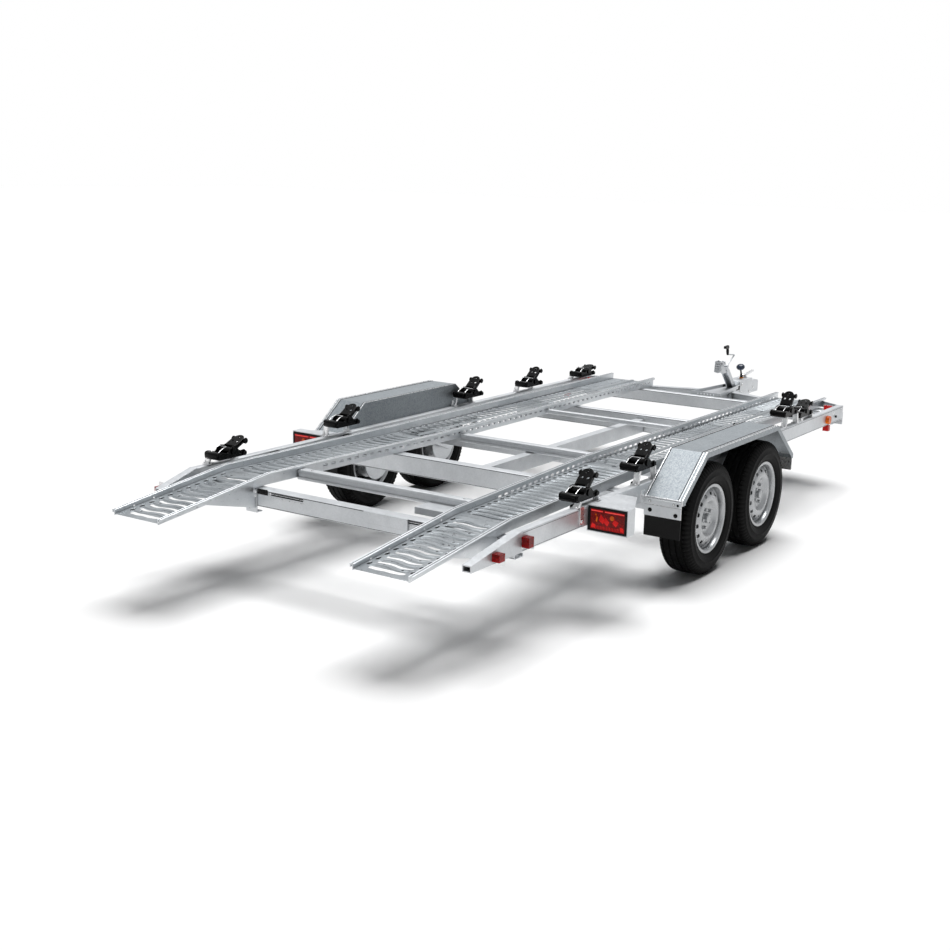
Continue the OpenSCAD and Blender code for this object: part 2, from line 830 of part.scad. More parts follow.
module lamp_box(y) {
    w = fender_x - rail_x;
    h = lamp_high - lamp_low;
    translate([rail_x, y, lamp_low]) difference() {
        cube([w, lamp_deep, h]);
        translate([lamp_t, -cut, lamp_t]) cube([w - 2 * lamp_t, lamp_deep - lamp_t + cut, h - 2 * lamp_t]);
    }
}

// The plate in front of a lamp reaches 220 forward, or to the fender's bracket where that is nearer
module lamp_bracket(y) {
    t = 4;
    near = y + lamp_deep;
    far = min(220, -fender_l / 2 - bracket_t - near);
    translate([0, 0, rail_top - t]) linear_extrude(t)
        polygon([[rail_x, near], [fender_x - 6, near], [rail_x + 105, near + far], [rail_x, near + far]]);
    translate([rail_x, y - 52, rail_low + 4]) cube([t, 52, rail_h - 12]);
}

module lamp_lens(y) {
    gap = 4;
    x0 = rail_x + 24;
    z0 = lamp_low + lamp_t + gap;
    translate([x0, y - 3, z0])
        cube([fender_x - x0 - lamp_t - gap, lamp_deep - lamp_t + 3, lamp_high - lamp_low - 2 * lamp_t - 2 * gap]);
}

module red_marker_side(y, z) {
    deep = 38;
    for (p = [[y, z, 42, 34], [-1868, rail_low + 24, 40, 46]])
        translate([rail_x, p[0], p[1]]) cube([deep, p[2], p[3]]);
    translate([rail_x - deep + 6, rail_front - 272, rail_low - deep]) cube([deep, 32, deep]);
}

module amber_marker_side() {
    cross_rod(rail_x, rail_x + 22, rail_front - 294, rail_low + 41, 26, fine);
}

// Ratchets: a frame on two posts that stand on the outer rail, and a handle on its spool
ratchet_x = rail_x - 60;
frame_half = 47;
plate_t = 5;
spool_r = 11;
spool_z = 32;
bar_y = -98;
bar_z = 20;
lobe_y = 78;
lobe_z = 14;

// Each ratchet's place, height and handle angle
function spots(rear, front, lift, tilt) = [for (i = [0 : 4])
    [i < 2 ? rear[i] : rail_front - front[i - 2], rail_top + lift[i], tilt[i]]];

left_spots = spots(left_rear, left_front, left_lift, left_tilt);
right_spots = spots(right_rear, right_front, right_lift, right_tilt);

module ratchet_posts_at(s) {
    foot = 4;
    for (d = [bar_y + 10, lobe_y - 4]) {
        translate([rail_in + 6, s[0] + d - 15, rail_top]) cube([rail_w - 12, 30, foot]);
        translate([rail_in + 8, s[0] + d - 8, rail_top + foot - 1]) cube([16, 16, s[1] - rail_top - foot + 1]);
    }
}

module ratchet_frame_at(s) {
    translate([ratchet_x, s[0], s[1]]) {
        for (x = [-frame_half, frame_half - plate_t])
            side_plate(x, x + plate_t) union() {
                translate([0, spool_z]) circle(22, $fn = coarse);
                translate([bar_y, bar_z]) circle(16, $fn = coarse);
                translate([lobe_y, lobe_z]) circle(14, $fn = coarse);
                polygon([[bar_y, 0], [bar_y, 36], [-8, 52], [8, 52], [lobe_y, 28], [lobe_y, 0]]);
            }
        cross_rod(-frame_half - 6, frame_half + 6, 0, spool_z, spool_r, fine);
        cross_rod(-frame_half - 4, frame_half + 4, bar_y, bar_z, 11);
        cross_rod(-frame_half - 4, frame_half + 4, lobe_y, lobe_z, 7);
        translate([-frame_half, bar_y - 6, 0]) cube([2 * frame_half, lobe_y - bar_y + 12, plate_t]);
    }
}

module ratchet_handle_at(s) {
    arm_half = 34;
    arm_l = 104;
    tongue_z = 9;
    translate([ratchet_x, s[0], s[1] + spool_z]) rotate([s[2], 0, 0]) {
        for (x = [-arm_half, arm_half - plate_t])
            side_plate(x, x + plate_t) difference() {
                union() {
                    circle(19, $fn = coarse);
                    translate([0, -9]) square([arm_l, 22]);
                }
                circle(spool_r + 1, $fn = coarse);
            }
        cross_rod(-arm_half - 4, arm_half + 4, arm_l - 2, 0, 10);
        translate([0, 0, tongue_z]) linear_extrude(plate_t) difference() {
            union() {
                translate([-arm_half + 1, 30]) square([2 * arm_half - 2, arm_l - 38]);
                translate([0, arm_l - 8]) circle(26, $fn = coarse);
            }
            for (p = [[0, arm_l - 2], [-16, arm_l - 32], [16, arm_l - 32]])
                translate(p) circle(6, $fn = 24);
        }
    }
}

module outer_rail_left() {
    color(zinc) place() mirror([1, 0, 0]) outer_rail(-left_tail);
}

module outer_rail_right() {
    color(zinc) place() outer_rail(-right_tail);
}

module rear_cross_beam() {
    color(zinc) place() rear_cross_beam_part();
}

module ramp_cross_member() {
    color(zinc) place() cross_channel(ramp_beam, sheet - inner_x(ramp_beam[1]), inner_x(ramp_beam[1]) - sheet, -1);
}

module rear_cross_member() {
    color(zinc) place() cross_channel(rear_member, -rail_in, rail_in, 1);
}

module front_axle_bar() {
    color(zinc) place() cross_channel(axle_bar, sheet - deck_inner, deck_inner - sheet, -1);
}

module middle_bar() {
    color(zinc) place() cross_channel(mid_bar, sheet - deck_inner, deck_inner - sheet, 0);
}

module deep_cross_member() {
    color(zinc) place() cross_channel(deep_member, -rail_in, rail_in, 1);
}

module front_cross_beam() {
    color(zinc) place() cross_channel(front_beam, -rail_in, rail_in, 1);
}

module centre_beam() {
    color(zinc) place() centre_beam_part();
}

module front_arms() {
    color(zinc) place() both() front_arm();
}

module front_corners() {
    color(zinc) place() both() front_corner();
}

module drawbar() {
    color(zinc) place() drawbar_part();
}

module head_plate() {
    color(zinc) place() head_plate_part();
}

module rear_hangers() {
    color(zinc) place() both() rear_hanger();
}

module rear_plates() {
    color(bright) place() rear_plates_part();
}

module track_rails_left() {
    color(zinc) place() mirror([1, 0, 0]) track_rails();
}

module track_rails_right() {
    color(zinc) place() track_rails();
}

module ramp_floor_left() {
    color(bright) place() mirror([1, 0, 0]) ramp_floor();
}

module ramp_floor_right() {
    color(bright) place() ramp_floor();
}

module deck_floor_left() {
    color(bright) place() mirror([1, 0, 0]) deck_floor();
}

module deck_floor_right() {
    color(bright) place() deck_floor();
}

module fender_left() {
    color(zinc) place() mirror([1, 0, 0]) fender();
}

module fender_right() {
    color(zinc) place() fender();
}

module fender_brackets() {
    color(bright) place() both() fender_brackets_side();
}

module mud_flaps() {
    color(black) place() both() mud_flap_side();
}

module axle_tubes() {
    color(zinc) place() axle_tubes_part();
}

module swing_arms() {
    color(zinc) place() both() for (y = [rear_axle, front_axle]) swing_arm_at(y);
}

module tyre_rear_left() {
    color(black) place() mirror([1, 0, 0]) tyre(rear_axle);
}

module tyre_rear_right() {
    color(black) place() tyre(rear_axle);
}

module tyre_front_left() {
    color(black) place() mirror([1, 0, 0]) tyre(front_axle);
}

module tyre_front_right() {
    color(black) place() tyre(front_axle);
}

module rim_rear_left() {
    color(bright) place() mirror([1, 0, 0]) rim(rear_axle);
}

module rim_rear_right() {
    color(bright) place() rim(rear_axle);
}

module rim_front_left() {
    color(bright) place() mirror([1, 0, 0]) rim(front_axle);
}

module rim_front_right() {
    color(bright) place() rim(front_axle);
}

module overrun_housing() {
    color(zinc) place() overrun_housing_part();
}

module ball_coupling() {
    color(zinc) place() ball_coupling_part();
}

module coupling_lever() {
    color(bright) place() coupling_lever_part();
}

module brake_knob() {
    color(black) place() brake_knob_part();
}

module winch_post() {
    color(zinc) place() winch_post_part();
}

module winch_body() {
    color(zinc) place() winch_body_part();
}

module winch_crank() {
    color(bright) place() winch_crank_part();
}

module lamp_boxes() {
    color(zinc) place() {
        lamp_box(-right_lamp);
        mirror([1, 0, 0]) lamp_box(-left_lamp);
    }
}

module lamp_brackets() {
    color(zinc) place() {
        lamp_bracket(-right_lamp);
        mirror([1, 0, 0]) lamp_bracket(-left_lamp);
    }
}

module lamp_lenses() {
    color(red) place() {
        lamp_lens(-right_lamp);
        mirror([1, 0, 0]) lamp_lens(-left_lamp);
    }
}

module red_markers() {
    color(red) place() {
        red_marker_side(152 - right_tail, rail_low + 14);
        mirror([1, 0, 0]) red_marker_side(30 - left_tail, rail_low - 8);
    }
}

module amber_markers() {
    color(amber) place() both() amber_marker_side();
}

module ratchet_posts() {
    color(bright) place() {
        for (y = right_spots) ratchet_posts_at(y);
        mirror([1, 0, 0]) for (y = left_spots) ratchet_posts_at(y);
    }
}

module ratchet_frames() {
    color(black) place() {
        for (y = right_spots) ratchet_frame_at(y);
        mirror([1, 0, 0]) for (y = left_spots) ratchet_frame_at(y);
    }
}

module ratchet_handle_left_1() {
    color(black) place() mirror([1, 0, 0]) ratchet_handle_at(left_spots[0]);
}

module ratchet_handle_left_2() {
    color(black) place() mirror([1, 0, 0]) ratchet_handle_at(left_spots[1]);
}

module ratchet_handle_left_3() {
    color(black) place() mirror([1, 0, 0]) ratchet_handle_at(left_spots[2]);
}

module ratchet_handle_left_4() {
    color(black) place() mirror([1, 0, 0]) ratchet_handle_at(left_spots[3]);
}

module ratchet_handle_left_5() {
    color(black) place() mirror([1, 0, 0]) ratchet_handle_at(left_spots[4]);
}

module ratchet_handle_right_1() {
    color(black) place() ratchet_handle_at(right_spots[0]);
}

module ratchet_handle_right_2() {
    color(black) place() ratchet_handle_at(right_spots[1]);
}

module ratchet_handle_right_3() {
    color(black) place() ratchet_handle_at(right_spots[2]);
}

module ratchet_handle_right_4() {
    color(black) place() ratchet_handle_at(right_spots[3]);
}

module ratchet_handle_right_5() {
    color(black) place() ratchet_handle_at(right_spots[4]);
}

outer_rail_left();
outer_rail_right();
rear_cross_beam();
ramp_cross_member();
rear_cross_member();
front_axle_bar();
middle_bar();
deep_cross_member();
front_cross_beam();
centre_beam();
front_arms();
front_corners();
drawbar();
head_plate();
rear_hangers();
rear_plates();
track_rails_left();
track_rails_right();
ramp_floor_left();
ramp_floor_right();
deck_floor_left();
deck_floor_right();
fender_left();
fender_right();
fender_brackets();
mud_flaps();
axle_tubes();
swing_arms();
tyre_rear_left();
tyre_rear_right();
tyre_front_left();
tyre_front_right();
rim_rear_left();
rim_rear_right();
rim_front_left();
rim_front_right();
overrun_housing();
ball_coupling();
coupling_lever();
brake_knob();
winch_post();
winch_body();
winch_crank();
lamp_boxes();
lamp_brackets();
lamp_lenses();
red_markers();
amber_markers();
ratchet_posts();
ratchet_frames();
ratchet_handle_left_1();
ratchet_handle_left_2();
ratchet_handle_left_3();
ratchet_handle_left_4();
ratchet_handle_left_5();
ratchet_handle_right_1();
ratchet_handle_right_2();
ratchet_handle_right_3();
ratchet_handle_right_4();
ratchet_handle_right_5();
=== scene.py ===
from contextlib import contextmanager
from math import atan2, copysign, cos, hypot, pi, radians, sin

import bpy
import bmesh
from mathutils import Matrix, Vector


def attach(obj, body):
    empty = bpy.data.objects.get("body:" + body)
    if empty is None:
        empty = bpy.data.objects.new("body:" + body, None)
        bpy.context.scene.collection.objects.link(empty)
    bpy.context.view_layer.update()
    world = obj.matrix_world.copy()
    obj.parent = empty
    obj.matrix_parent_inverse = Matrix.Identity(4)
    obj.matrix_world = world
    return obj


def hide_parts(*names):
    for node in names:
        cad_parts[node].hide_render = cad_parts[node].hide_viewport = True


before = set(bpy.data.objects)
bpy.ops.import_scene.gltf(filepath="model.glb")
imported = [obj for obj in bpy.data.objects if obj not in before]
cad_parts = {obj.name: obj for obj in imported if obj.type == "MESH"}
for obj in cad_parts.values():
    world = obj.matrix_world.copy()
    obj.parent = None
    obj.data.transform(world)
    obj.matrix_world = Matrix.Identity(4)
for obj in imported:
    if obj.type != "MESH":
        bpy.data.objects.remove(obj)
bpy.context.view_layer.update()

AXLE_MID = -0.255       # the middle of the axle pair, along Y of the shared frame
IMAGE_PX = 950
SENSOR_MM = 36.0
WHEEL_R = 0.295
WHEEL_HALF = 0.0925     # half the tyre's width
WHEEL_Y = 0.34          # each axle's distance from the middle of the pair
TYRE_FACE = 1.192       # the tyres' outer faces
RAIL_FACE = 0.985       # the outer rails' outer faces
RAIL_TOP = 0.525
LAYER = 0.0002          # how far a drawn line stands off the face under it
scene = bpy.context.scene


def make_camera():
    """The photo's camera, solved from the wheels, rails and tracks."""
    focal_px = 1366.7
    azimuth = radians(33.758)
    elevation = radians(13.008)
    roll = radians(1.244)
    place = Vector((3.937, -6.6535 + AXLE_MID, 2.065))
    forward = -Vector((sin(azimuth) * cos(elevation),
                       -cos(azimuth) * cos(elevation), sin(elevation)))
    level = forward.cross(Vector((0, 0, 1))).normalized()
    rise = level.cross(forward)
    right = cos(roll) * level + sin(roll) * rise
    up = -sin(roll) * level + cos(roll) * rise
    cam = bpy.data.cameras.new("camera")
    cam.sensor_width = SENSOR_MM
    cam.lens = focal_px * SENSOR_MM / IMAGE_PX
    cam.clip_end = 100.0
    obj = bpy.data.objects.new("camera", cam)
    scene.collection.objects.link(obj)
    turn = Matrix((right, up, -forward)).transposed()
    obj.matrix_world = Matrix.Translation(place) @ turn.to_4x4()
    scene.camera = obj


# ---- materials

MIX_FACTOR, MIX_A, MIX_B, MIXED = 0, 6, 7, 2    # sockets of a colour Mix node


def set_inputs(node, **values):
    for key, value in values.items():
        node.inputs[key.replace("_", " ")].default_value = value


def set_stops(ramp, stops):
    """Give a colour ramp its stops: places with colours, or with greys given as one number."""
    elements = ramp.color_ramp.elements
    while len(elements) < len(stops):
        elements.new(0.5)
    for e, (at, colour) in zip(elements, stops):
        e.position = at
        e.color = (*colour, 1) if isinstance(colour, tuple) else (colour, colour, colour, 1)


class Nodes:
    """A small builder for a material's node tree."""

    def __init__(self, name):
        self.mat = bpy.data.materials.new(name)
        self.mat.use_nodes = True
        self.tree = self.mat.node_tree
        self.tree.nodes.clear()
        self.bsdf = self.new("BsdfPrincipled")
        self.link(self.bsdf, "BSDF", self.new("OutputMaterial"), "Surface")
        self.coord = self.new("TexCoord")

    def new(self, kind, **values):
        node = self.tree.nodes.new("ShaderNode" + kind)
        set_inputs(node, **values)
        return node

    def link(self, a, output, b, socket):
        self.tree.links.new(a.outputs[output], b.inputs[socket])

    def noise(self, scale, detail=4.0, rough=0.55):
        n = self.new("TexNoise", Scale=scale, Detail=detail, Roughness=rough)
        self.link(self.coord, "Object", n, "Vector")
        return n

    def cells(self, scale):
        n = self.new("TexVoronoi", Scale=scale)
        self.link(self.coord, "Object", n, "Vector")
        return n

    def ramp(self, source, output, stops):
        n = self.new("ValToRGB")
        set_stops(n, stops)
        self.link(source, output, n, "Fac")
        return n

    def mix(self, a, b, fac, kind="MIX"):
        """Mix two colours, each given as (node, output); the result is output MIXED."""
        n = self.new("Mix")
        n.data_type = "RGBA"
        n.blend_type = kind
        n.inputs[MIX_FACTOR].default_value = fac
        self.link(*a, n, MIX_A)
        self.link(*b, n, MIX_B)
        return n

    def paint_corner_shade(self, colour, output, low):
        """Painted shade: darken a colour in corners and narrow openings, by ambient occlusion."""
        ao = self.new("AmbientOcclusion", Distance=0.035)
        ao.samples = 8
        shade = self.ramp(ao, "AO", [(0.25, low), (0.8, 1.0)])
        return self.mix((colour, output), (shade, "Color"), 1.0, "MULTIPLY")

    def bump(self, source, output, strength, distance, edge):
        """Small surface relief over softly rounded edges."""
        b = self.new("Bump", Strength=strength, Distance=distance)
        self.link(source, output, b, "Height")
        v = self.new("Bevel", Radius=edge)
        v.samples = 4
        self.link(v, "Normal", b, "Normal")
        self.link(b, "Normal", self.bsdf, "Normal")


def zinc(name, dark, light, rough, spangle, spangle_share, metallic, patchy=0.08, relief=0.06, corner_shade=0.0):
    """Galvanised steel: crystals of two tones, cloudy patches and, if asked, painted shade in its corners."""
    n = Nodes(name)
    cells = n.cells(spangle)
    fleck = n.ramp(cells, "Color", [(0.15, dark), (0.85, light)])
    cloud = n.noise(5.0)
    tone = n.ramp(cloud, "Fac", [(0.3, dark), (0.7, light)])
    colour = n.mix((tone, "Color"), (fleck, "Color"), spangle_share)
    if corner_shade:
        colour = n.paint_corner_shade(colour, MIXED, corner_shade)
    n.link(colour, MIXED, n.bsdf, "Base Color")
    fine = n.noise(60.0, 5.0, 0.6)
    r = n.ramp(fine, "Fac", [(0.3, rough - 0.07), (0.7, rough + 0.09)])
    rough_cells = n.mix((r, "Color"), (cells, "Color"), patchy)
    n.link(rough_cells, MIXED, n.bsdf, "Roughness")
    set_inputs(n.bsdf, Metallic=metallic)
    n.bump(fine, "Fac", relief, 0.001, 0.0016)
    return name, n.mat


def paint(name, colour, rough, metallic=0.0, grain=80.0, strength=0.06, second=None, shine=0.5):
    """Paint, plastic or rubber: a fine grain, and clouds of a second colour."""
    n = Nodes(name)
    fine = n.noise(grain)
    r = n.ramp(fine, "Fac", [(0.3, max(0.02, rough - 0.06)), (0.7, rough + 0.08)])
    n.link(r, "Color", n.bsdf, "Roughness")
    cloud = n.noise(7.0)
    tone = n.ramp(cloud, "Fac", [(0.3, colour), (0.75, second or tuple(c * 1.12 for c in colour))])
    n.link(tone, "Color", n.bsdf, "Base Color")
    set_inputs(n.bsdf, Metallic=metallic, Specular_IOR_Level=shine)
    n.bump(fine, "Fac", strength, 0.001, 0.0012)
    return name, n.mat


def lens(name, deep, bright, cell, glow):
    """Moulded lens: a prismatic grain, with colour and a painted glow that grow brighter towards the bottom."""
    n = Nodes(name)
    cells = n.cells(cell)
    grain = n.ramp(cells, "Distance", [(0.0, bright), (0.55, deep)])
    split = n.new("SeparateXYZ")
    n.link(n.coord, "Generated", split, "Vector")
    height = n.ramp(split, "Z", [(0.05, bright), (0.75, deep)])
    tone = n.mix((grain, "Color"), (height, "Color"), 0.6)
    n.link(tone, MIXED, n.bsdf, "Base Color")
    n.link(tone, MIXED, n.bsdf, "Emission Color")
    set_inputs(n.bsdf, Roughness=0.18, Specular_IOR_Level=0.22, Emission_Strength=glow)
    n.bump(cells, "Distance", 0.25, 0.003, 0.001)
    return name, n.mat


M = dict((
    # zinc gets painted shade in its corners, and the floors' zinc below gets more
    zinc("zinc", (0.56, 0.58, 0.6), (0.74, 0.76, 0.78), 0.4, 130.0, 0.25, 0.62, corner_shade=0.45),
    zinc("fender_zinc", (0.22, 0.245, 0.265), (0.4, 0.43, 0.45), 0.42, 210.0, 0.75, 0.7),
    zinc("track_zinc", (0.62, 0.65, 0.67), (0.8, 0.82, 0.84), 0.33, 120.0, 0.15, 0.8, 0.03, 0.02),
    # the floors' zinc: a darker copy of track_zinc, painted shade on the floors
    zinc("shaded_floor_zinc", (0.33, 0.355, 0.375), (0.5, 0.53, 0.55), 0.32, 120.0, 0.15, 0.8, 0.03, 0.02, 0.55),
    zinc("bright_zinc", (0.74, 0.75, 0.76), (0.9, 0.9, 0.9), 0.28, 160.0, 0.06, 0.85, 0.02, 0.015),
    # near black: painted shade in holes, grooves, wheels, slots and under flanges, and also dark seams and washers
    paint("shade_and_dark_joints", (0.006, 0.006, 0.007), 0.7, shine=0.1),
    paint("rim", (0.38, 0.39, 0.4), 0.29, 0.75, 25.0, 0.004, (0.48, 0.49, 0.5)),
    paint("tyre", (0.0035, 0.0035, 0.0035), 0.6, 0.0, 140.0, 0.12, (0.006, 0.006, 0.006), 0.1),
    paint("rubber", (0.004, 0.004, 0.004), 0.55, 0.0, 120.0, 0.1, shine=0.2),
    paint("black_steel", (0.001, 0.001, 0.001), 0.22, 0.0, 40.0, 0.03, shine=0.14),
    paint("black_plastic", (0.0015, 0.0018, 0.0022), 0.25, 0.0, 40.0, 0.03, shine=0.22),
    paint("blue_plastic", (0.004, 0.016, 0.045), 0.22),
    paint("brass", (0.45, 0.16, 0.03), 0.35, 0.6),
    lens("red_lens", (0.11, 0.0, 0.0), (0.62, 0.003, 0.002), 120.0, 0.25),
    lens("red_bright", (0.45, 0.002, 0.002), (0.8, 0.008, 0.006), 90.0, 0.4),
    lens("red_painted_highlight", (0.75, 0.03, 0.03), (0.9, 0.1, 0.08), 160.0, 0.45),
    lens("amber_lens", (0.5, 0.07, 0.001), (0.85, 0.2, 0.006), 150.0, 0.22),
))

# the slots of the finishes that have no slot of their own name
SLOT = {"shaded_floor_zinc": "track_zinc", "shade_and_dark_joints": "black_steel", "brass": "black_steel",
        "blue_plastic": "black_plastic", "red_bright": "red_lens", "red_painted_highlight": "red_lens"}

# finishes of the CAD nodes, by the first of these that a name starts with; the others are zinc
CAD_FINISH = {
    "fender_brackets": "bright_zinc", "fender": "fender_zinc", "coupling_lever": "bright_zinc",
    "winch_crank": "bright_zinc", "ratchet_posts": "bright_zinc", "ratchet": "black_steel", "mud_flaps": "rubber",
    "brake_knob": "black_plastic", "lamp_lenses": "red_lens", "red_markers": "red_lens",
    "amber_markers": "amber_lens", "tyre": "tyre", "rim": "rim", "ramp_floor": "track_zinc",
    "deck_floor": "track_zinc", "track_rails": "track_zinc",
}

for node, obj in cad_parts.items():
    obj.data.materials.clear()
    obj.data.materials.append(M[next((CAD_FINISH[start] for start in CAD_FINISH if node.startswith(start)), "zinc")])


# ---- building blocks for the visual pieces (metres, measured from the middle of the axle pair)

def add(name, mesh, finish, body="chassis", place=Matrix.Identity(4), stands_for=(), slot=None):
    """Put a mesh in the scene as a piece that rides on a body, and may stand for CAD nodes."""
    slot = slot or SLOT.get(finish, finish)
    obj = bpy.data.objects.new(name, mesh)
    scene.collection.objects.link(obj)
    mesh.name = name
    mesh.materials.append(M[finish])
    obj.matrix_world = Matrix.Translation((0, AXLE_MID, 0)) @ place
    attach(obj, body)
    if stands_for:
        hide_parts(*stands_for)


def mirror_x(mesh):
    """Turn a mesh of the right side into its mirror image."""
    mesh.transform(Matrix.Scale(-1, 4, (1, 0, 0)))
    mesh.flip_normals()
    return mesh


def mirrored(name, mesh, finish):
    """Add a piece of the right side and its mirror image on the left."""
    other = mesh.copy()
    add(name + "_right", mesh, finish)
    add(name + "_left", mirror_x(other), finish)


def sided(mesh, side):
    return mirror_x(mesh) if side == "left" else mesh


@contextmanager
def editing(mesh):
    """Open a mesh as a bmesh, and write it back."""
    bm = bmesh.new()
    bm.from_mesh(mesh)
    yield bm
    bm.to_mesh(mesh)
    bm.free()


def smooth(mesh, angle=35):
    """Shade smooth, but keep edges sharp that turn by more than an angle."""
    for p in mesh.polygons:
        p.use_smooth = True
    mesh.update()
    with editing(mesh) as bm:
        for e in bm.edges:
            if len(e.link_faces) == 2 and e.calc_face_angle(0) > radians(angle):
                e.smooth = False
    return mesh


def mesh_of(verts, faces, angle=35):
    mesh = bpy.data.meshes.new("mesh")
    mesh.from_pydata([tuple(v) for v in verts], [], faces)
    mesh.validate()
    with editing(mesh) as bm:
        bmesh.ops.recalc_face_normals(bm, faces=bm.faces)
    return smooth(mesh, angle)


def join(meshes, angle=35):
    bm = bmesh.new()
    for m in meshes:
        bm.from_mesh(m)
    mesh = bpy.data.meshes.new("mesh")
    bm.to_mesh(mesh)
    bm.free()
    for m in meshes:
        bpy.data.meshes.remove(m)
    return smooth(mesh, angle)


def box_mesh(lo, hi):
    (x0, y0, z0), (x1, y1, z1) = lo, hi
    verts = [(x, y, z) for z in (z0, z1) for y in (y0, y1) for x in (x0, x1)]
    return mesh_of(verts, [(0, 1, 3, 2), (4, 5, 7, 6), (0, 1, 5, 4), (2, 3, 7, 6), (0, 2, 6, 4), (1, 3, 7, 5)])


def circle(x, y, r, n=16, squash=1.0):
    turns = [2 * pi * i / n for i in range(n)]
    return [(x + r * cos(t), y + squash * r * sin(t)) for t in turns]


def rounded(points, r, steps=5):
    """A closed outline with its corners rounded."""
    ring = []
    n = len(points)
    for i in range(n):
        a, b, c = Vector(points[i - 1]), Vector(points[i]), Vector(points[(i + 1) % n])
        u, v = (a - b).normalized(), (c - b).normalized()
        cut = min(r, (a - b).length * 0.45, (c - b).length * 0.45)
        p, q = b + u * cut, b + v * cut
        for k in range(steps + 1):
            t = k / steps
            w = (1 - t) ** 2 * p + 2 * t * (1 - t) * b + t * t * q
            ring.append((w.x, w.y))
    return ring


def rect(u0, u1, v0, v1, r, steps=5):
    """A rectangle with rounded corners."""
    return rounded([(u0, v0), (u1, v0), (u1, v1), (u0, v1)], r, steps)


def plate_mesh(outline, holes, t, place, bevel):
    """A flat plate of thickness t from 2-D outlines, its edges rounded by bevel."""
    curve = bpy.data.curves.new("plate", "CURVE")
    curve.dimensions = "2D"
    curve.fill_mode = "BOTH"
    curve.extrude = max(t / 2 - bevel, 0.0)
    curve.bevel_depth = bevel
    curve.bevel_resolution = 1
    curve.offset = -bevel
    for ring in [outline, *holes]:
        spline = curve.splines.new("POLY")
        spline.points.add(len(ring) - 1)
        for p, (x, y) in zip(spline.points, ring):
            p.co = (x, y, 0, 1)
        spline.use_cyclic_u = True
    obj = bpy.data.objects.new("plate", curve)
    scene.collection.objects.link(obj)
    deps = bpy.context.evaluated_depsgraph_get()
    mesh = bpy.data.meshes.new_from_object(obj.evaluated_get(deps))
    bpy.data.objects.remove(obj)
    bpy.data.curves.remove(curve)
    mesh.transform(place)
    return smooth(mesh)


def upright(y):
    """Stands a flat plate at y, so that its outline is a rear view (x, z)."""
    return Matrix(((1, 0, 0, 0), (0, 0, 1, y), (0, 1, 0, 0), (0, 0, 0, 1)))


def side_mesh(outline, holes, x0, x1, bevel=0.0012):
    """A plate whose outline is a side view (y, z), from x0 to x1."""
    place = Matrix(((0, 0, 1, (x0 + x1) / 2), (1, 0, 0, 0), (0, 1, 0, 0), (0, 0, 0, 1)))
    return plate_mesh(outline, holes, x1 - x0, place, min(bevel, (x1 - x0) / 2.5))


def wrap_faces(n, count, closed=True, full=True):
    """Quads between n copies of a line of points; if full, the last copy meets the first."""
    faces = []
    for k in range(n if full else n - 1):
        q = (k + 1) % n
        for i in range(count if closed else count - 1):
            j = (i + 1) % count
            faces.append((k * count + i, k * count + j, q * count + j, q * count + i))
    return faces


def tube_mesh(points, r, n=8, closed=False):
    """A round bar along a line of points."""
    pts = [Vector(p) for p in points]
    verts = []
    up = None
    count = len(pts)
    for i, p in enumerate(pts):
        a = pts[i - 1] if i or closed else p
        b = pts[(i + 1) % count] if i < count - 1 or closed else p
        d = (b - a).normalized()
        if up is None:
            up = Vector((0, 0, 1)) if abs(d.z) < 0.9 else Vector((1, 0, 0))
        side = d.cross(up).normalized()
        up = side.cross(d).normalized()
        for k in range(n):
            t = 2 * pi * k / n
            verts.append(p + r * (cos(t) * side + sin(t) * up))
    faces = wrap_faces(count, n, full=closed)
    if not closed:
        faces += [tuple(range(n - 1, -1, -1)), tuple(range((count - 1) * n, count * n))]
    return mesh_of(verts, faces)


def lathe_mesh(profile, n, axis="X", angle=30, closed=True):
    """Turn a profile of (radius, along) points about an axis through the origin."""
    verts = []
    for k in range(n):
        t = 2 * pi * k / n
        for r, u in profile:
            a, b = r * cos(t), r * sin(t)
            verts.append((u, a, b) if axis == "X" else (a, b, u))
    mesh = mesh_of(verts, wrap_faces(n, len(profile), closed), angle)
    with editing(mesh) as bm:
        bmesh.ops.remove_doubles(bm, verts=bm.verts, dist=1e-6)
        bmesh.ops.recalc_face_normals(bm, faces=bm.faces)
    return smooth(mesh, angle)


def knob_mesh(profile, n, place):
    """Turn a profile about +Z, from axis to axis, and put it in place."""
    mesh = lathe_mesh(profile, n, axis="Z", closed=False)
    mesh.transform(place)
    return mesh


def disc_mesh(r, z0, z1, n, place):
    return knob_mesh([(0, z0), (r, z0), (r, z1), (0, z1)], n, place)


def rod(x0, x1, y, z, r, n=20, edge=0.001):
    """A bar across, with chamfered ends."""
    profile = [(0, x0), (r - edge, x0), (r, x0 + edge), (r, x1 - edge), (r - edge, x1), (0, x1)]
    mesh = lathe_mesh(profile, n, closed=False)
    mesh.transform(Matrix.Translation((0, y, z)))
    return mesh


def nut_mesh(r, h, place):
    """A hexagon head with a washer under it, standing on z = 0 before it is put in place."""
    washer_h = h * 0.16
    verts = [(x, y, z) for z, ring in ((washer_h, circle(0, 0, r, 6)), (h * 0.86, circle(0, 0, r, 6)),
                                       (h, circle(0, 0, r * 0.8, 6))) for x, y in ring]
    faces = [tuple(range(12, 18)), *wrap_faces(3, 6, full=False)]
    mesh = join([disc_mesh(r * 1.45, 0, washer_h, 20, Matrix.Identity(4)), mesh_of(verts, faces)])
    mesh.transform(place)
    return mesh


def aim(place, normal):
    """A matrix that puts local +Z along a normal, at a place."""
    return Matrix.Translation(place) @ Vector(normal).to_track_quat("Z", "Y").to_matrix().to_4x4()


REARWARD, FORWARD, OUTWARD, INWARD = (0, -1, 0), (0, 1, 0), (1, 0, 0), (-1, 0, 0)


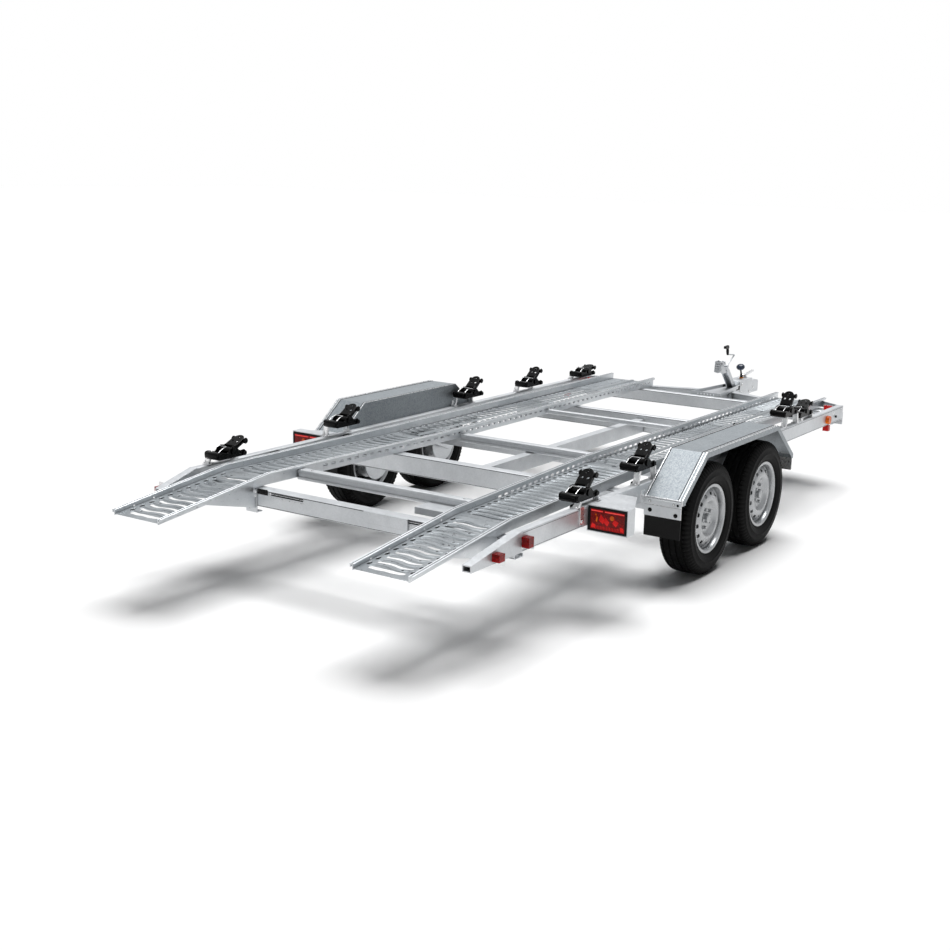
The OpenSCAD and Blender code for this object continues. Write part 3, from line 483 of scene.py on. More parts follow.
def bolts(name, points, normal, r, h, finish="bright_zinc"):
    """Bolt heads at points of the right side and their images on the left, as one piece."""
    nx, ny, nz = normal
    places = [aim(p, normal) for p in points] + [aim((-x, y, z), (-nx, ny, nz)) for x, y, z in points]
    add(name, join([nut_mesh(r, h, place) for place in places]), finish)


# ---- the tracks' floors

PITCH = 0.06            # from slot to slot
SHEET = 0.004           # the floors' thickness
SHEET_EDGE = 0.0012     # rounding of the sheets' edges
HOLE_SHADE_Z = 0.0012          # height of the discs of painted shade over the sheet's middle
LIPS = [(-2.488, 0.566, 0.848, 0.45), (-2.19, 0.566, 0.848, 0.48575), (-1.76, 0.566, 0.848, 0.537),
        (-0.42, 0.482, 0.806, 0.543), (2.26, 0.482, 0.806, 0.543)]    # y, inner x, outer x, top


def s_slot(x0, x1, y, width, sway, steps=10):
    """A slot across a plank whose middle line sways; its ends are round."""
    span = x1 - x0 - width

    def mid(t):
        return y + sway * sin(2 * pi * t)

    def half(t):
        return width / 2 * (1 - 0.11 * cos(4 * pi * t))

    def edge(k, sign):
        t = k / steps
        return x0 + width / 2 + span * t, mid(t) + sign * half(t)

    def end(x, t, start):
        turns = [start + pi * i / 5 for i in range(1, 5)]
        return [(x + width / 2 * cos(a), mid(t) + half(t) * sin(a)) for a in turns]

    return ([edge(k, -1) for k in range(steps + 1)] + end(x1 - width / 2, 1, -pi / 2)
            + [edge(k, 1) for k in range(steps, -1, -1)] + end(x0 + width / 2, 0, pi / 2))


def add_floor(kind, side, parts, hole_shades):
    """A pressed floor, and discs of painted shade under its round holes, so the holes read as deep ones."""
    spots = [disc_mesh(r, -0.0006, 0.0, 14, Matrix.Translation(place) @ Matrix.Diagonal((1, long, 1, 1)))
             for place, r, long in hole_shades]
    add(f"{kind}_gaps_{side}", sided(join(spots), side), "shade_and_dark_joints")
    name = f"{kind}_floor_{side}"
    add(name + "_pressed", sided(join(parts), side), "shaded_floor_zinc", stands_for=(name,))


def ramp_floor(side):
    sheets, pressed, hole_shades = [], [], []
    # the ramp proper, then the part that narrows towards the main deck
    for ya, za, yb, zb, xa, xb, wa, wb, slot_w, sway in (
            (-2.489, 0.43, -1.761, 0.507, 0.707, 0.707, 0.281, 0.281, 0.025, 0.0065),
            (-1.759, 0.507, -0.421, 0.503, 0.707, 0.644, 0.281, 0.323, 0.018, 0.0045)):
        length = hypot(yb - ya, zb - za)
        skew = (xb - xa) / length
        place = Matrix.Translation((xa, ya, za)) @ Matrix.Rotation(atan2(zb - za, yb - ya), 4, "X")
        outline = [(-wa / 2, 0), (wa / 2, 0), (skew * length + wb / 2, length), (skew * length - wb / 2, length)]
        holes, ribs = [], []
        for i in range(int((length - 0.044) / PITCH)):
            y = 0.05 + i * PITCH
            half, mid = (wa + (wb - wa) * y / length) / 2, skew * y
            # the slot, straight and wide at the ramp's foot, and the folded wall along its far edge
            w, bend = (0.034, 0) if i == 0 and za < 0.5 else (slot_w, sway)
            holes.append(s_slot(mid - half + 0.042, mid + half - 0.052, y, w, bend))
            wall = [(mid - 0.005 + (half - 0.056) * (2 * t - 1), y + w * 0.56 + bend * sin(2 * pi * t))
                    for t in (k / 10 for k in range(11))]
            verts = [place @ Vector((u, v + out, d)) for out in (0, 0.002) for d in (-0.0015, -0.005) for u, v in wall]
            pressed.append(mesh_of(verts, [(a + j, a + j + 1, b + j + 1, b + j)
                                           for a, b in ((0, 11), (33, 22), (11, 33)) for j in range(10)]))
            # three round holes and a pressed rib on the rung behind it
            y += PITCH / 2
            for dx, r, long in ((-half + 0.023, 0.0078, 2.0), (half - 0.034, 0.0078, 2.0),
                                (-0.045 if i % 2 else 0.052, 0.0062, 0.9)):
                holes.append(circle(mid + dx, y, r, 16, long))
                # a disc of painted shade under each round hole
                hole_shades.append((place @ Vector((mid + dx, y, HOLE_SHADE_Z)), r * 1.1, long))
            half = (wa + (wb - wa) * y / length) / 2
            rib = [(skew * y - 0.005 + (half - 0.048) * (2 * t - 1),
                    y - 0.0075 + (sway + 0.0025) * sin(2 * pi * t), SHEET / 2 - 0.0008)
                   for t in (k / 12 for k in range(13))]
            ribs.append(tube_mesh([place @ Vector(p) for p in rib], 0.0045))
        sheets.append(plate_mesh(outline, holes, SHEET, place, SHEET_EDGE))
        pressed += ribs
    add_floor("ramp", side, sheets + pressed, hole_shades)


def deck_floor(side):
    length, half = 2.679, 0.1615
    place = Matrix.Translation((0.644, -0.418, 0.503))
    outline = [(-half, 0), (half, 0), (half, length), (-half, length)]
    holes, ribs, hole_shades = [], [], []
    for i in range(int((length - 0.03) / PITCH)):
        y = 0.032 + i * PITCH
        for a, b in ((-half + 0.026, -0.03), (0.03, half - 0.026)):
            holes.append(s_slot(a, b, y, 0.016, 0.002, 6))
            for dy in (-0.0125, 0.0125):
                line = [place @ Vector((a + (b - a) * k / 4, y + dy, 0.0012)) for k in range(5)]
                ribs.append(tube_mesh(line, 0.0026, 5))
        for dx in (-half + 0.014, half - 0.014):
            holes.append(circle(dx, y + PITCH / 2, 0.0058, 12, 1.6))
            # a disc of painted shade under each round hole
            hole_shades.append((place @ Vector((dx, y + PITCH / 2, HOLE_SHADE_Z)), 0.0064, 1.6))
    ridge = [(-0.017, 0.0015), (-0.01, 0.0075), (-0.004, 0.0085), (0.004, 0.0085), (0.01, 0.0075), (0.017, 0.0015)]
    k = len(ridge)
    verts = [place @ Vector((u, y, v)) for y in (0.004, length - 0.004) for u, v in ridge]
    faces = [(i, i + 1, k + i + 1, k + i) for i in range(k - 1)] + [tuple(range(k)), tuple(range(k, 2 * k))]
    sheet = plate_mesh(outline, holes, SHEET, place, SHEET_EDGE)
    add_floor("deck", side, [sheet, mesh_of(verts, faces, 15), *ribs], hole_shades)


def lip_beads(side):
    """Rolled edges along the side rails' lips, and painted shade in the groove between them."""
    def lines(shift, drop):
        return [[(p[edge] + sign * shift, p[0], p[3] - drop) for p in LIPS] for edge, sign in ((1, -1), (2, 1))]

    groove_shades = [tube_mesh(line, 0.0021, 6) for line in lines(0.008, 0.0012)]
    beads = [tube_mesh(line, 0.0036) for shift in (0.0, 0.016) for line in lines(shift, 0.0026)]
    add("lip_grooves_" + side, sided(join(groove_shades), side), "shade_and_dark_joints")
    add("lip_beads_" + side, sided(join(beads), side), "track_zinc")


for side in ("left", "right"):
    ramp_floor(side)
    deck_floor(side)
    lip_beads(side)


# ---- wheels

def tyre_mesh():
    """A tyre with grooves, shoulder blocks and rings on its side walls."""
    depths = [(0.1665, 0.0245), (0.1835, 0.0225), (0.1862, 0.0135), (0.19, 0.0105), (0.1925, 0.0115), (0.196, 0.0085),
              (0.212, 0.004), (0.2225, 0.0015), (0.2235, 0.0003), (0.2262, 0.0003), (0.2272, 0.0012), (0.243, 0.0018),
              (0.256, 0.0045), (0.2575, 0.0038), (0.262, 0.0062), (0.2685, 0.0095), (0.279, 0.015), (0.2872, 0.0215),
              (0.2905, 0.027)]    # radius, depth in from the tyre's face
    side = [(r, WHEEL_HALF - depth) for r, depth in depths]
    tread = []
    for groove in (0.051, 0.0175, -0.0175, -0.051):
        rim_r = 0.2945 - 0.02 * abs(groove)
        tread += [(rim_r, groove + 0.0045), (0.2865, groove + 0.0035), (0.2865, groove - 0.0035),
                  (rim_r, groove - 0.0045)]
    profile = side + tread + [(r, -u) for r, u in reversed(side)]
    n, count = 216, len(profile)
    verts = []
    for k in range(n):
        t = 2 * pi * k / n
        for i, (r, u) in enumerate(profile):
            if k % 3 == 0 and 14 <= min(i, count - 1 - i) <= 19:    # cuts in the shoulders
                r -= 0.008 if r > 0.275 else 0.004
            if (k + i // 4) % 4 == 0 and 20 <= i <= count - 21 and r > 0.29:    # fine cuts in the tread
                r -= 0.0016
            verts.append((u, r * cos(t), r * sin(t)))
    return mesh_of(verts, wrap_faces(n, count), 40)


def vented(disc, rings):
    """Cut prisms through a wheel's disc, each from a ring of (y, z) points."""
    prisms = []
    for ring in rings:
        n = len(ring)
        faces = [tuple(range(n)), tuple(range(n, 2 * n)), *wrap_faces(2, n, full=False)]
        prisms.append(mesh_of([(u, *p) for u in (-0.07, 0.0) for p in ring], faces))
    pair = [bpy.data.objects.new("cut", m) for m in (disc, join(prisms))]
    for obj in pair:
        scene.collection.objects.link(obj)
    m = pair[0].modifiers.new("vents", "BOOLEAN")
    m.operation = "DIFFERENCE"
    m.solver = "EXACT"
    m.object = pair[1]
    bpy.context.view_layer.update()
    deps = bpy.context.evaluated_depsgraph_get()
    mesh = bpy.data.meshes.new_from_object(pair[0].evaluated_get(deps))
    for obj in pair:
        used = obj.data
        bpy.data.objects.remove(obj)
        bpy.data.meshes.remove(used)
    return mesh


NUT_RING = [(0.049 * cos(t), 0.049 * sin(t)) for t in (2 * pi * (i + 0.25) / 5 for i in range(5))]


def rim_mesh():
    """A pressed steel wheel: barrel, vented disc, nuts, hub and valve. x runs outwards."""
    barrel = [(0.181, 0), (0.1805, -0.004), (0.1765, -0.0062), (0.1715, -0.0052), (0.1665, -0.0095), (0.165, -0.032),
              (0.152, -0.046), (0.152, -0.104), (0.1655, -0.117), (0.1655, -0.144), (0.1715, -0.148), (0.181, -0.15),
              (0.181, -0.153), (0.171, -0.1525), (0.1605, -0.146), (0.1605, -0.119), (0.1475, -0.107), (0.1475, -0.044),
              (0.159, -0.03), (0.161, -0.0105), (0.166, -0.0028), (0.174, 0.0002)]
    disc = [(0.151, -0.05), (0.149, -0.037), (0.143, -0.0235), (0.134, -0.015), (0.122, -0.0098),
            (0.106, -0.0062), (0.096, -0.0062), (0.088, -0.0105), (0.079, -0.0225), (0.07, -0.027),
            (0.03, -0.0275), (0.03, -0.0315), (0.07, -0.031), (0.081, -0.0265), (0.0895, -0.015),
            (0.0965, -0.0105), (0.106, -0.0105), (0.122, -0.0142), (0.133, -0.0195), (0.14, -0.0265),
            (0.145, -0.038), (0.147, -0.05)]
    cap = [(0, -0.006), (0.018, -0.0065), (0.0245, -0.0095), (0.0255, -0.0265), (0.0325, -0.0265), (0.0325, -0.032),
           (0, -0.032)]
    drum = [(0, -0.06), (0.1, -0.062), (0.106, -0.068), (0.106, -0.125), (0, -0.125)]
    vent = [Vector((0.13 + 0.0082 * copysign(abs(c) ** 0.7, c), 0.0112 * copysign(abs(s) ** 0.7, s)))
            for c, s in circle(0, 0, 1, 20)]
    turns = [Matrix.Rotation(2 * pi * (i + 0.5) / 14, 2) for i in range(14)]
    rings = [[tuple(turn @ p) for p in vent] for turn in turns]
    rings += [circle(y, z, 0.0105, 16) for y, z in NUT_RING]
    parts = [lathe_mesh(barrel, 112), vented(lathe_mesh(disc, 168, angle=50), rings), lathe_mesh(cap, 48, closed=False)]
    parts += [nut_mesh(0.0088, 0.014, aim((-0.0285, y, z), (1, 0, 0))) for y, z in NUT_RING]
    parts += [lathe_mesh(drum, 64, closed=False), tube_mesh([(-0.034, 0.145, 0), (-0.012, 0.15, 0)], 0.0035)]
    return join(parts, 40)


def wheel_shade_mesh():
    """Painted shade inside a wheel: dark rings, seen through its vents and round its nuts."""
    return join([lathe_mesh([(0.116, -0.035), (0.144, -0.044), (0.144, -0.047), (0.116, -0.047)], 56),
                 lathe_mesh([(0.034, -0.0318), (0.069, -0.0318), (0.069, -0.04), (0.034, -0.04)], 40)])


for side, out in (("left", -1), ("right", 1)):
    for end, y, turn in (("rear", -WHEEL_Y, 0.35), ("front", WHEEL_Y, 0.9)):
        wheel = f"{end}_{side}"
        body = "wheel_" + wheel
        middle = Matrix.Translation((out * (TYRE_FACE - WHEEL_HALF), y, WHEEL_R))
        flange = Matrix.Translation((out * (TYRE_FACE - 0.016), y, WHEEL_R))
        add(f"tyre_{wheel}_dressed", tyre_mesh(), "tyre", body, middle, ("tyre_" + wheel,))
        add(f"rim_{wheel}_dressed", sided(rim_mesh(), side), "rim", body, flange @ Matrix.Rotation(turn, 4, "X"),
            ("rim_" + wheel,))
        add("wheel_inner_shade_" + wheel, sided(wheel_shade_mesh(), side), "shade_and_dark_joints", body, flange)


# ---- ratchets

RATCHET_X = 0.925
SPOOL_UP = 0.032        # from a ratchet's underside to its spool's axis
# each ratchet's place along the rail, its height over it, and its handle's tilt in degrees
RATCHETS = {
    "left": [(-1.67, 0.028, 24), (-0.74, 0.055, 32), (0.53, 0.055, 38), (1.27, 0.035, 38), (2.01, 0.018, 10)],
    "right": [(-1.27, 0.022, 42), (-0.685, 0.062, 38), (0.48, 0.03, 12), (1.24, 0.058, 50), (1.5, 0.018, 20)],
}


def gear(x0, x1, r, teeth=12):
    ring = []
    for i in range(teeth):
        for share, rr in ((0.0, r), (0.55, r * 0.97), (0.62, r * 0.8), (0.95, r * 0.84)):
            t = 2 * pi * (i + share) / teeth
            ring.append((rr * cos(t), rr * sin(t)))
    return side_mesh(ring, [circle(0, 0, 0.0095)], x0, x1, 0.0004)


def ratchet_body_mesh():
    """The fixed part, measured from the spool's axis."""
    cheek = rounded([(-0.113, -0.03), (-0.115, 0.006), (-0.092, 0.01), (-0.04, -0.004), (-0.02, 0.022),
                     (0.02, 0.022), (0.046, -0.002), (0.08, 0.002), (0.092, -0.014), (0.088, -0.031),
                     (0.04, -0.031), (0.022, -0.027), (-0.03, -0.027), (-0.06, -0.031)], 0.012)
    block = rounded([(-0.117, -0.028), (-0.117, 0.006), (-0.083, 0.009), (-0.08, -0.027)], 0.013, 6)
    floor = rect(-0.046, 0.046, -0.103, 0.083, 0.008)
    parts = [side_mesh(cheek, [circle(0.05, -0.014, 0.005, 12)], x, x + 0.0045, 0.0015) for x in (-0.047, 0.0425)]
    parts += [gear(x, x + 0.003, 0.027) for x in (-0.0415, 0.0385)]
    parts += [rod(x0, x1, 0, 0, r, 24) for x0, x1, r in ((-0.053, 0.053, 0.011), (-0.0535, -0.0495, 0.0165),
                                                         (0.0495, 0.0535, 0.0165))]
    parts += [rod(-0.03, 0.03, 0, 0, 0.019, 28, 0.002)]    # strap wound on the spool
    # the wide end bar and the bar at the other end, with their caps
    parts += [side_mesh(block, [], -0.0415, 0.0415, 0.003), rod(-0.0515, 0.0515, -0.098, -0.01, 0.012, 20, 0.002),
              rod(-0.0515, 0.0515, 0.078, -0.018, 0.0075)]
    parts += [rod(x, x + 0.006, 0.078, -0.018, 0.013, 20, 0.0015) for x in (-0.0535, 0.0475)]
    parts += [plate_mesh(floor, [circle(0, y, 0.007, 12) for y in (-0.05, 0.045)], 0.005,
                         Matrix.Translation((0, 0, -0.0295)), 0.001)]
    return join(parts, 40)


def ratchet_handle_mesh(tilt):
    """The lever, measured from the spool's axis; with no tilt it lies along +Y."""
    arm = rounded([(-0.019, -0.014), (-0.019, 0.014), (0.01, 0.021), (0.04, 0.014), (0.098, 0.013), (0.116, 0.004),
                   (0.114, -0.012), (0.092, -0.009), (0.024, -0.011), (0.01, -0.019)], 0.01)
    tongue = [(-0.037, 0.03), (-0.037, 0.066), (-0.036, 0.084)]
    tongue += [(0.034 * cos(t), 0.092 + 0.034 * sin(t)) for t in (pi * (1 - k / 14) for k in range(15))]
    tongue += [(0.036, 0.084), (0.037, 0.066), (0.037, 0.03)]
    holes = [circle(0, 0.102, 0.0068), circle(-0.016, 0.07, 0.0062, 14), circle(0.016, 0.07, 0.0062, 14)]
    pawl = rounded([(0.03, -0.006), (0.03, 0.004), (0.06, 0.01), (0.066, 0.0), (0.052, -0.008)], 0.004, 3)
    parts = [side_mesh(arm, [circle(0, 0, 0.0118)], x, x + 0.0045, 0.0015) for x in (-0.0345, 0.03)]
    parts += [plate_mesh(tongue, holes, 0.005, Matrix.Translation((0, 0, 0.0115)), 0.0018),
              rod(-0.041, 0.041, 0.102, 0.0, 0.0105, 24, 0.003), side_mesh(pawl, [], -0.036, 0.036, 0.0015)]
    parts += [rod(x, x + 0.009, 0.102, 0.0, 0.0155, 20, 0.003) for x in (-0.0465, 0.0375)]
    mesh = join(parts, 40)
    mesh.transform(Matrix.Rotation(radians(tilt), 4, "X"))
    return mesh


def ratchet_feet_mesh(lift):
    """Zinc pieces under a ratchet: two forked feet and a wire loop."""
    parts = []
    rail = -SPOOL_UP - lift
    for y, lean in ((-0.088, -0.016), (0.074, 0.014)):
        for x in (0.03, 0.056):
            leg = [(x, y, -0.026), (x, y + lean * 0.1, -0.034), (x, y + lean * 0.7, rail * 0.55 - 0.018),
                   (x, y + lean, rail + 0.009), (x, y + lean * 1.2, rail + 0.004)]
            parts.append(tube_mesh(leg, 0.0058))
        web, foot = y + lean * 0.6, y + lean
        parts += [box_mesh((0.029, web - 0.002, rail + 0.004), (0.057, web + 0.002, -0.031)),
                  plate_mesh(rect(0.018, 0.0588, foot - 0.017, foot + 0.017, 0.006, 4), [], 0.0042,
                             Matrix.Translation((0, 0, rail + 0.0022)), 0.001),
                  nut_mesh(0.0075, 0.007, Matrix.Translation((0.04, foot, rail + 0.0042)))]
    parts.append(tube_mesh([(-0.026, -0.09, 0.004), (-0.026, -0.06, 0.02), (-0.024, -0.03, 0.027),
                            (0.024, -0.03, 0.027), (0.026, -0.06, 0.02), (0.026, -0.09, 0.004)], 0.0017))
    return join(parts, 40)


# clamps that hold the rear foot of the first ratchet of each side to its rail
for side, y in (("left", -1.758), ("right", -1.358)):
    clamp = join([side_mesh(rect(y - 0.018, y + 0.018, 0.446, 0.532, 0.006), [], 0.9855, 0.9905),
                  box_mesh((0.952, y - 0.018, 0.5275), (0.99, y + 0.018, 0.532)),
                  rod(0.9905, 0.996, y, 0.462, 0.0085, 6)])
    add("rail_clamp_" + side, sided(clamp, side), "bright_zinc")

for side, out in (("left", -1), ("right", 1)):
    for i, (y, lift, tilt) in enumerate(RATCHETS[side], 1):
        spool = Matrix.Translation((out * RATCHET_X, y, RAIL_TOP + lift + SPOOL_UP))
        add(f"ratchet_body_{side}_{i}", sided(ratchet_body_mesh(), side), "black_steel", "chassis", spool,
            ("ratchet_frames",))
        add(f"ratchet_lever_{side}_{i}", sided(ratchet_handle_mesh(tilt), side), "black_steel", f"ratchet_{side}_{i}",
            spool, (f"ratchet_handle_{side}_{i}",))
        add(f"ratchet_feet_{side}_{i}", sided(ratchet_feet_mesh(lift), side), "bright_zinc", "chassis", spool,
            ("ratchet_posts",))


# ---- rear lamps

def lamp_dressing(side, y):
    """Bezel, lens and bright shapes of a rear lamp, and two strips of painted highlight along its top; y is the lamp's
    rear edge.
    """
    x0, x1, z0, z1 = 0.9895, 1.1905, 0.4125, 0.5275
    left, right, low, high = x0 + 0.013, x1 - 0.01, z0 + 0.009, z1 - 0.01
    glass = rect(left, right, low, high, 0.006, 4)

    def at(*shares):
        return [(left + (right - left) * u, low + (high - low) * v) for u, v in shares]

    def spot(points, t=0.0008):
        return plate_mesh(points, [], t, upright(y - 0.0014), 0.0002)

    bezel = [plate_mesh(rect(x0, x1, z0, z1, 0.006, 4), [glass], 0.006, upright(y + 0.0005), 0.0012),
             box_mesh((x0 + 0.002, y + 0.006, z0 + 0.002), (x1 - 0.002, y + 0.04, z1 - 0.002))]
    facets = [spot(at(*shares)) for shares in (
        ((0.3, 0.78), (0.44, 0.52), (0.37, 0.3), (0.25, 0.46)), ((0.44, 0.66), (0.56, 0.44), (0.5, 0.22), (0.39, 0.4)),
        ((0.7, 0.62), (0.83, 0.5), (0.75, 0.26), (0.64, 0.42)), ((0.86, 0.3), (0.97, 0.26), (0.96, 0.06), (0.88, 0.1)),
        ((0.05, 0.3), (0.16, 0.22), (0.14, 0.05), (0.04, 0.1)))]
    for i in range(22):
        u = 0.03 + 0.94 * i / 21
        facets.append(spot(at((u, 0.03), (u + 0.012, 0.03), (u + 0.012, 0.2), (u, 0.2)), 0.0006))
    # two strips of painted highlight along the lens's top edge
    painted_highlights = [spot(rounded(at((a, 0.88), (b, 0.88), (b, 0.95), (a, 0.95)), 0.002, 3), 0.0012)
              for a, b in ((0.02, 0.36), (0.42, 0.98))]
    indicator = [spot(circle(*at((0.63, 0.66))[0], 0.0115, 20)), spot(circle(*at((0.16, 0.72))[0], 0.005, 14)),
                 spot(at((0.18, 0.66), (0.22, 0.6), (0.2, 0.36), (0.16, 0.42)))]
    add("lamp_bezel_" + side, sided(join(bezel), side), "rubber", slot="black_plastic")
    add("lamp_glass_" + side, sided(plate_mesh(glass, [], 0.005, upright(y + 0.0015), 0.0015), side), "red_lens",
        stands_for=("lamp_lenses",))
    for kind, shapes, finish in (("facets", facets, "red_bright"), ("painted_highlights", painted_highlights, "red_painted_highlight"),
                                 ("indicator", indicator, "amber_lens")):
        add(f"lamp_{kind}_{side}", sided(join(shapes), side), finish)


lamp_dressing("left", -0.86)
lamp_dressing("right", -1.3)


# ---- fender trim and brackets

FENDER = [(-0.72, 0.438), (-0.72, 0.462), (-0.465, 0.662), (0.465, 0.662), (0.72, 0.462), (0.72, 0.438)]


def over_fender(x, lift, r, n):
    """A line across the fender's top, which runs from edge to edge at one x."""
    return tube_mesh([(x, y, z + lift) for y, z in FENDER[1:5]], r, n)


def fender_trim():
    beads = []
    for x, r, lift in ((1.1885, 0.0048, -0.0012), (1.1725, 0.0022, 0.0), (0.99, 0.0034, -0.001)):
        foot, *top, other_foot = FENDER
        beads.append(tube_mesh([(x, *foot), *((x, y, z + lift) for y, z in top), (x, *other_foot)], r, 10))
    beads.append(over_fender(1.1925, -0.024, 0.002, 8))
    beads += [tube_mesh([(0.988, y, 0.4605), (1.192, y, 0.4605)], 0.0036, 10) for y in (-0.7195, 0.7195)]
    mirrored("fender_beads", join(beads), "bright_zinc")
    mirrored("fender_seams", join([over_fender(x, 0.0004, 0.0019, 6) for x in (1.1655, 0.996)]), "shade_and_dark_joints")

    fold = join([box_mesh((0.9865, -0.733, 0.428), (1.188, -0.7242, 0.454)),
                 box_mesh((0.9865, -0.7275, 0.368), (1.1865, -0.7243, 0.4235))])
    with editing(fold) as bm:
        bmesh.ops.bevel(bm, geom=bm.edges[:], offset=0.0014, segments=2, affect="EDGES", profile=0.6)
    mirrored("fender_rear_fold", smooth(fold), "zinc")


def bracket_bolts():
    """Bolts at both ends of the fender bracket, each on a dark washer."""
    washers = [((x, y, z), REARWARD, r) for x, y, z, r in (
        (1.02, -0.7274, 0.3965, 0.0105), (1.16, -0.7274, 0.386, 0.0105), (1.02, -0.733, 0.442, 0.0065),
        (1.15, -0.733, 0.441, 0.0065), (1.172, -0.733, 0.44, 0.0065))]
    washers += [((1.165, 0.7242, z), FORWARD, 0.0095) for z in (0.407, 0.425)]
    mirrored("bracket_washers", join([disc_mesh(r, 0, 0.001, 20, aim(at, normal)) for at, normal, r in washers]),
             "shade_and_dark_joints")
    bolts("bracket_bolts", [(1.02, -0.7284, 0.3965), (1.16, -0.7284, 0.386)], REARWARD, 0.0074, 0.005, "black_steel")
    bolts("bracket_small_bolts", [(1.02, -0.734, 0.442), (1.15, -0.734, 0.441)], REARWARD, 0.0036, 0.004)
    bolts("front_bracket_bolts", [(1.165, 0.7252, 0.407), (1.165, 0.7252, 0.425)], FORWARD, 0.005, 0.005)
    # a black plate on the front bracket's rear face: painted shade where the bracket sits under the fender
    shade_plate = side_mesh(rect(0.7205, 0.7245, 0.372, 0.455, 0.001), [], 1.06, 1.188, 0.0005)
    mirrored("front_bracket_cover", shade_plate, "black_steel")


fender_trim()
bracket_bolts()


# ---- cross members

def cross_members():
    """Closed faces, and the slots with their edges, fittings and clips."""
    faces = [plate_mesh(rect(-half, half, z0, z1, 0.004, 3), [], 0.003, upright(y + 0.004), 0.001)
             for y, z0, z1, half in ((-1.5585, 0.4715, 0.508, 0.544), (-0.2135, 0.461, 0.495, 0.476))]
    add("cross_member_faces", join(faces), "zinc")
    middles = (-0.362, 0.362)
    add("beam_slot_shadow", join([box_mesh((x - 0.105, -1.8435, 0.438), (x + 0.105, -1.8415, 0.466)) for x in middles]),
        "shade_and_dark_joints")
    edges = [tube_mesh([(u, -1.8505, z) for u, z in rect(x - 0.11, x + 0.11, 0.4435, 0.4605, 0.0084, 6)], 0.0016, 6,
                       closed=True) for x in middles]
    add("beam_slot_edges", join(edges), "bright_zinc")

    body = rounded([(-1.8545, 0.452), (-1.8545, 0.474), (-1.85, 0.478), (-1.85, 0.448)], 0.002)
    plug = [(0, -0.0045), (0.0085, -0.0045), (0.0105, -0.002), (0.0105, 0.0), (0, 0)]
    fitting = []
    for x, plug_x in ((-0.515, -0.527), (0.515, 0.527)):
        fitting += [side_mesh(body, [], x - 0.032, x + 0.032, 0.001),
                    rod(x - 0.026, x - 0.018, -1.8535, 0.47, 0.004, 12),
                    knob_mesh(plug, 20, aim((plug_x, -1.854, 0.462), FORWARD))]
    add("beam_plug_fitting", join(fitting), "black_plastic")
    blocks = [side_mesh(rounded([(y - 0.024, 0.448), (y - 0.028, 0.52), (y + 0.02, 0.5235), (y + 0.026, 0.47)], 0.01),
                        [], 0.905, 0.936, 0.003) for y in (-1.3, -0.7)]
    mirrored("rail_blocks", join(blocks), "rubber")


cross_members()


# ---- winch and coupling

WINCH_AXIS = (2.35, 0.67)


def winch():
    axis = Matrix.Translation((0, *WINCH_AXIS))
    hand = (0.05, 2.354, 0.754)
    line = [(0.05, *WINCH_AXIS), (0.05, 2.463, 0.732), (0.05, 2.473, 0.738), (0.05, 2.463, 0.74), hand]
    crank = [tube_mesh(line, 0.0052, 12), rod(0.0325, 0.0585, *WINCH_AXIS, 0.0085),
             rod(0.056, 0.06, *WINCH_AXIS, 0.0125)]
    add("crank_wire", join(crank), "zinc", "winch_crank", stands_for=("winch_crank",))
    stem = [(0, -0.004), (0.0075, -0.004), (0.0085, 0.004), (0.01, 0.012), (0.0105, 0.03), (0.0092, 0.045),
            (0.0085, 0.056), (0, 0.058)]
    head = rounded([(2.2965, 0.7985), (2.2965, 0.8175), (2.35, 0.8205), (2.3575, 0.815), (2.3575, 0.794),
                    (2.325, 0.796)], 0.006)
    lean = Matrix.Translation(hand) @ Matrix.Rotation(atan2(14, 66), 4, "X")
    add("crank_grip", join([knob_mesh(stem, 28, lean), side_mesh(head, [], 0.0405, 0.0595, 0.004)]), "black_plastic",
        "winch_crank")

    cheek = rounded([(-0.05, -0.044), (0.01, -0.059), (0.094, -0.059), (0.077, -0.024), (0.033, 0.026),
                     (-0.034, 0.036)], 0.009, 4)
    holes = [circle(y, z, r, 14) for y, z, r in ((-0.022, 0.016, 0.007), (0.055, -0.04, 0.007), (-0.034, -0.028, 0.006),
                                                (0.028, 0.012, 0.006))]
    cheeks = join([side_mesh(cheek, holes, x, x + 0.0042) for x in (-0.0225, 0.0183)]
                  + [rod(-0.0225, 0.0225, 0.03, 0.024, 0.0065), rod(-0.0225, 0.0225, -0.03, -0.02, 0.0055)])
    cheeks.transform(axis)
    holes = [circle(x, z, 0.0036, 12) for x in (-0.011, 0.0, 0.011) for z in (0.0095, 0.0255, 0.0415, 0.0575)]
    lean = Matrix.Translation((0, WINCH_AXIS[0] - 0.0525, 0.6265)) @ Matrix.Rotation(-0.14, 4, "X")
    back = plate_mesh(rect(-0.0215, 0.0215, 0, 0.078, 0.007, 4), holes, 0.004, lean @ upright(0), 0.001)
    add("winch_cheeks", join([cheeks, back]), "zinc", stands_for=("winch_body",))

    # the cable's turns make the drum's wavy middle
    cable = [(0.022 + 0.0016 * cos(75.4 * i / 96), 0.032 * i / 96 - 0.016) for i in range(97)]
    drum = lathe_mesh([(0.008, -0.018), (0.034, -0.018), (0.034, -0.0165), (0.02, -0.016), *cable,
                       (0.02, 0.016), (0.034, 0.0165), (0.034, 0.018), (0.008, 0.018)], 40)
    wheel = gear(0.0125, 0.016, 0.033, 28)
    for name, mesh, finish in (("winch_drum", drum, "black_steel"), ("winch_gear", wheel, "bright_zinc")):
        mesh.transform(axis)
        add(name, mesh, finish)


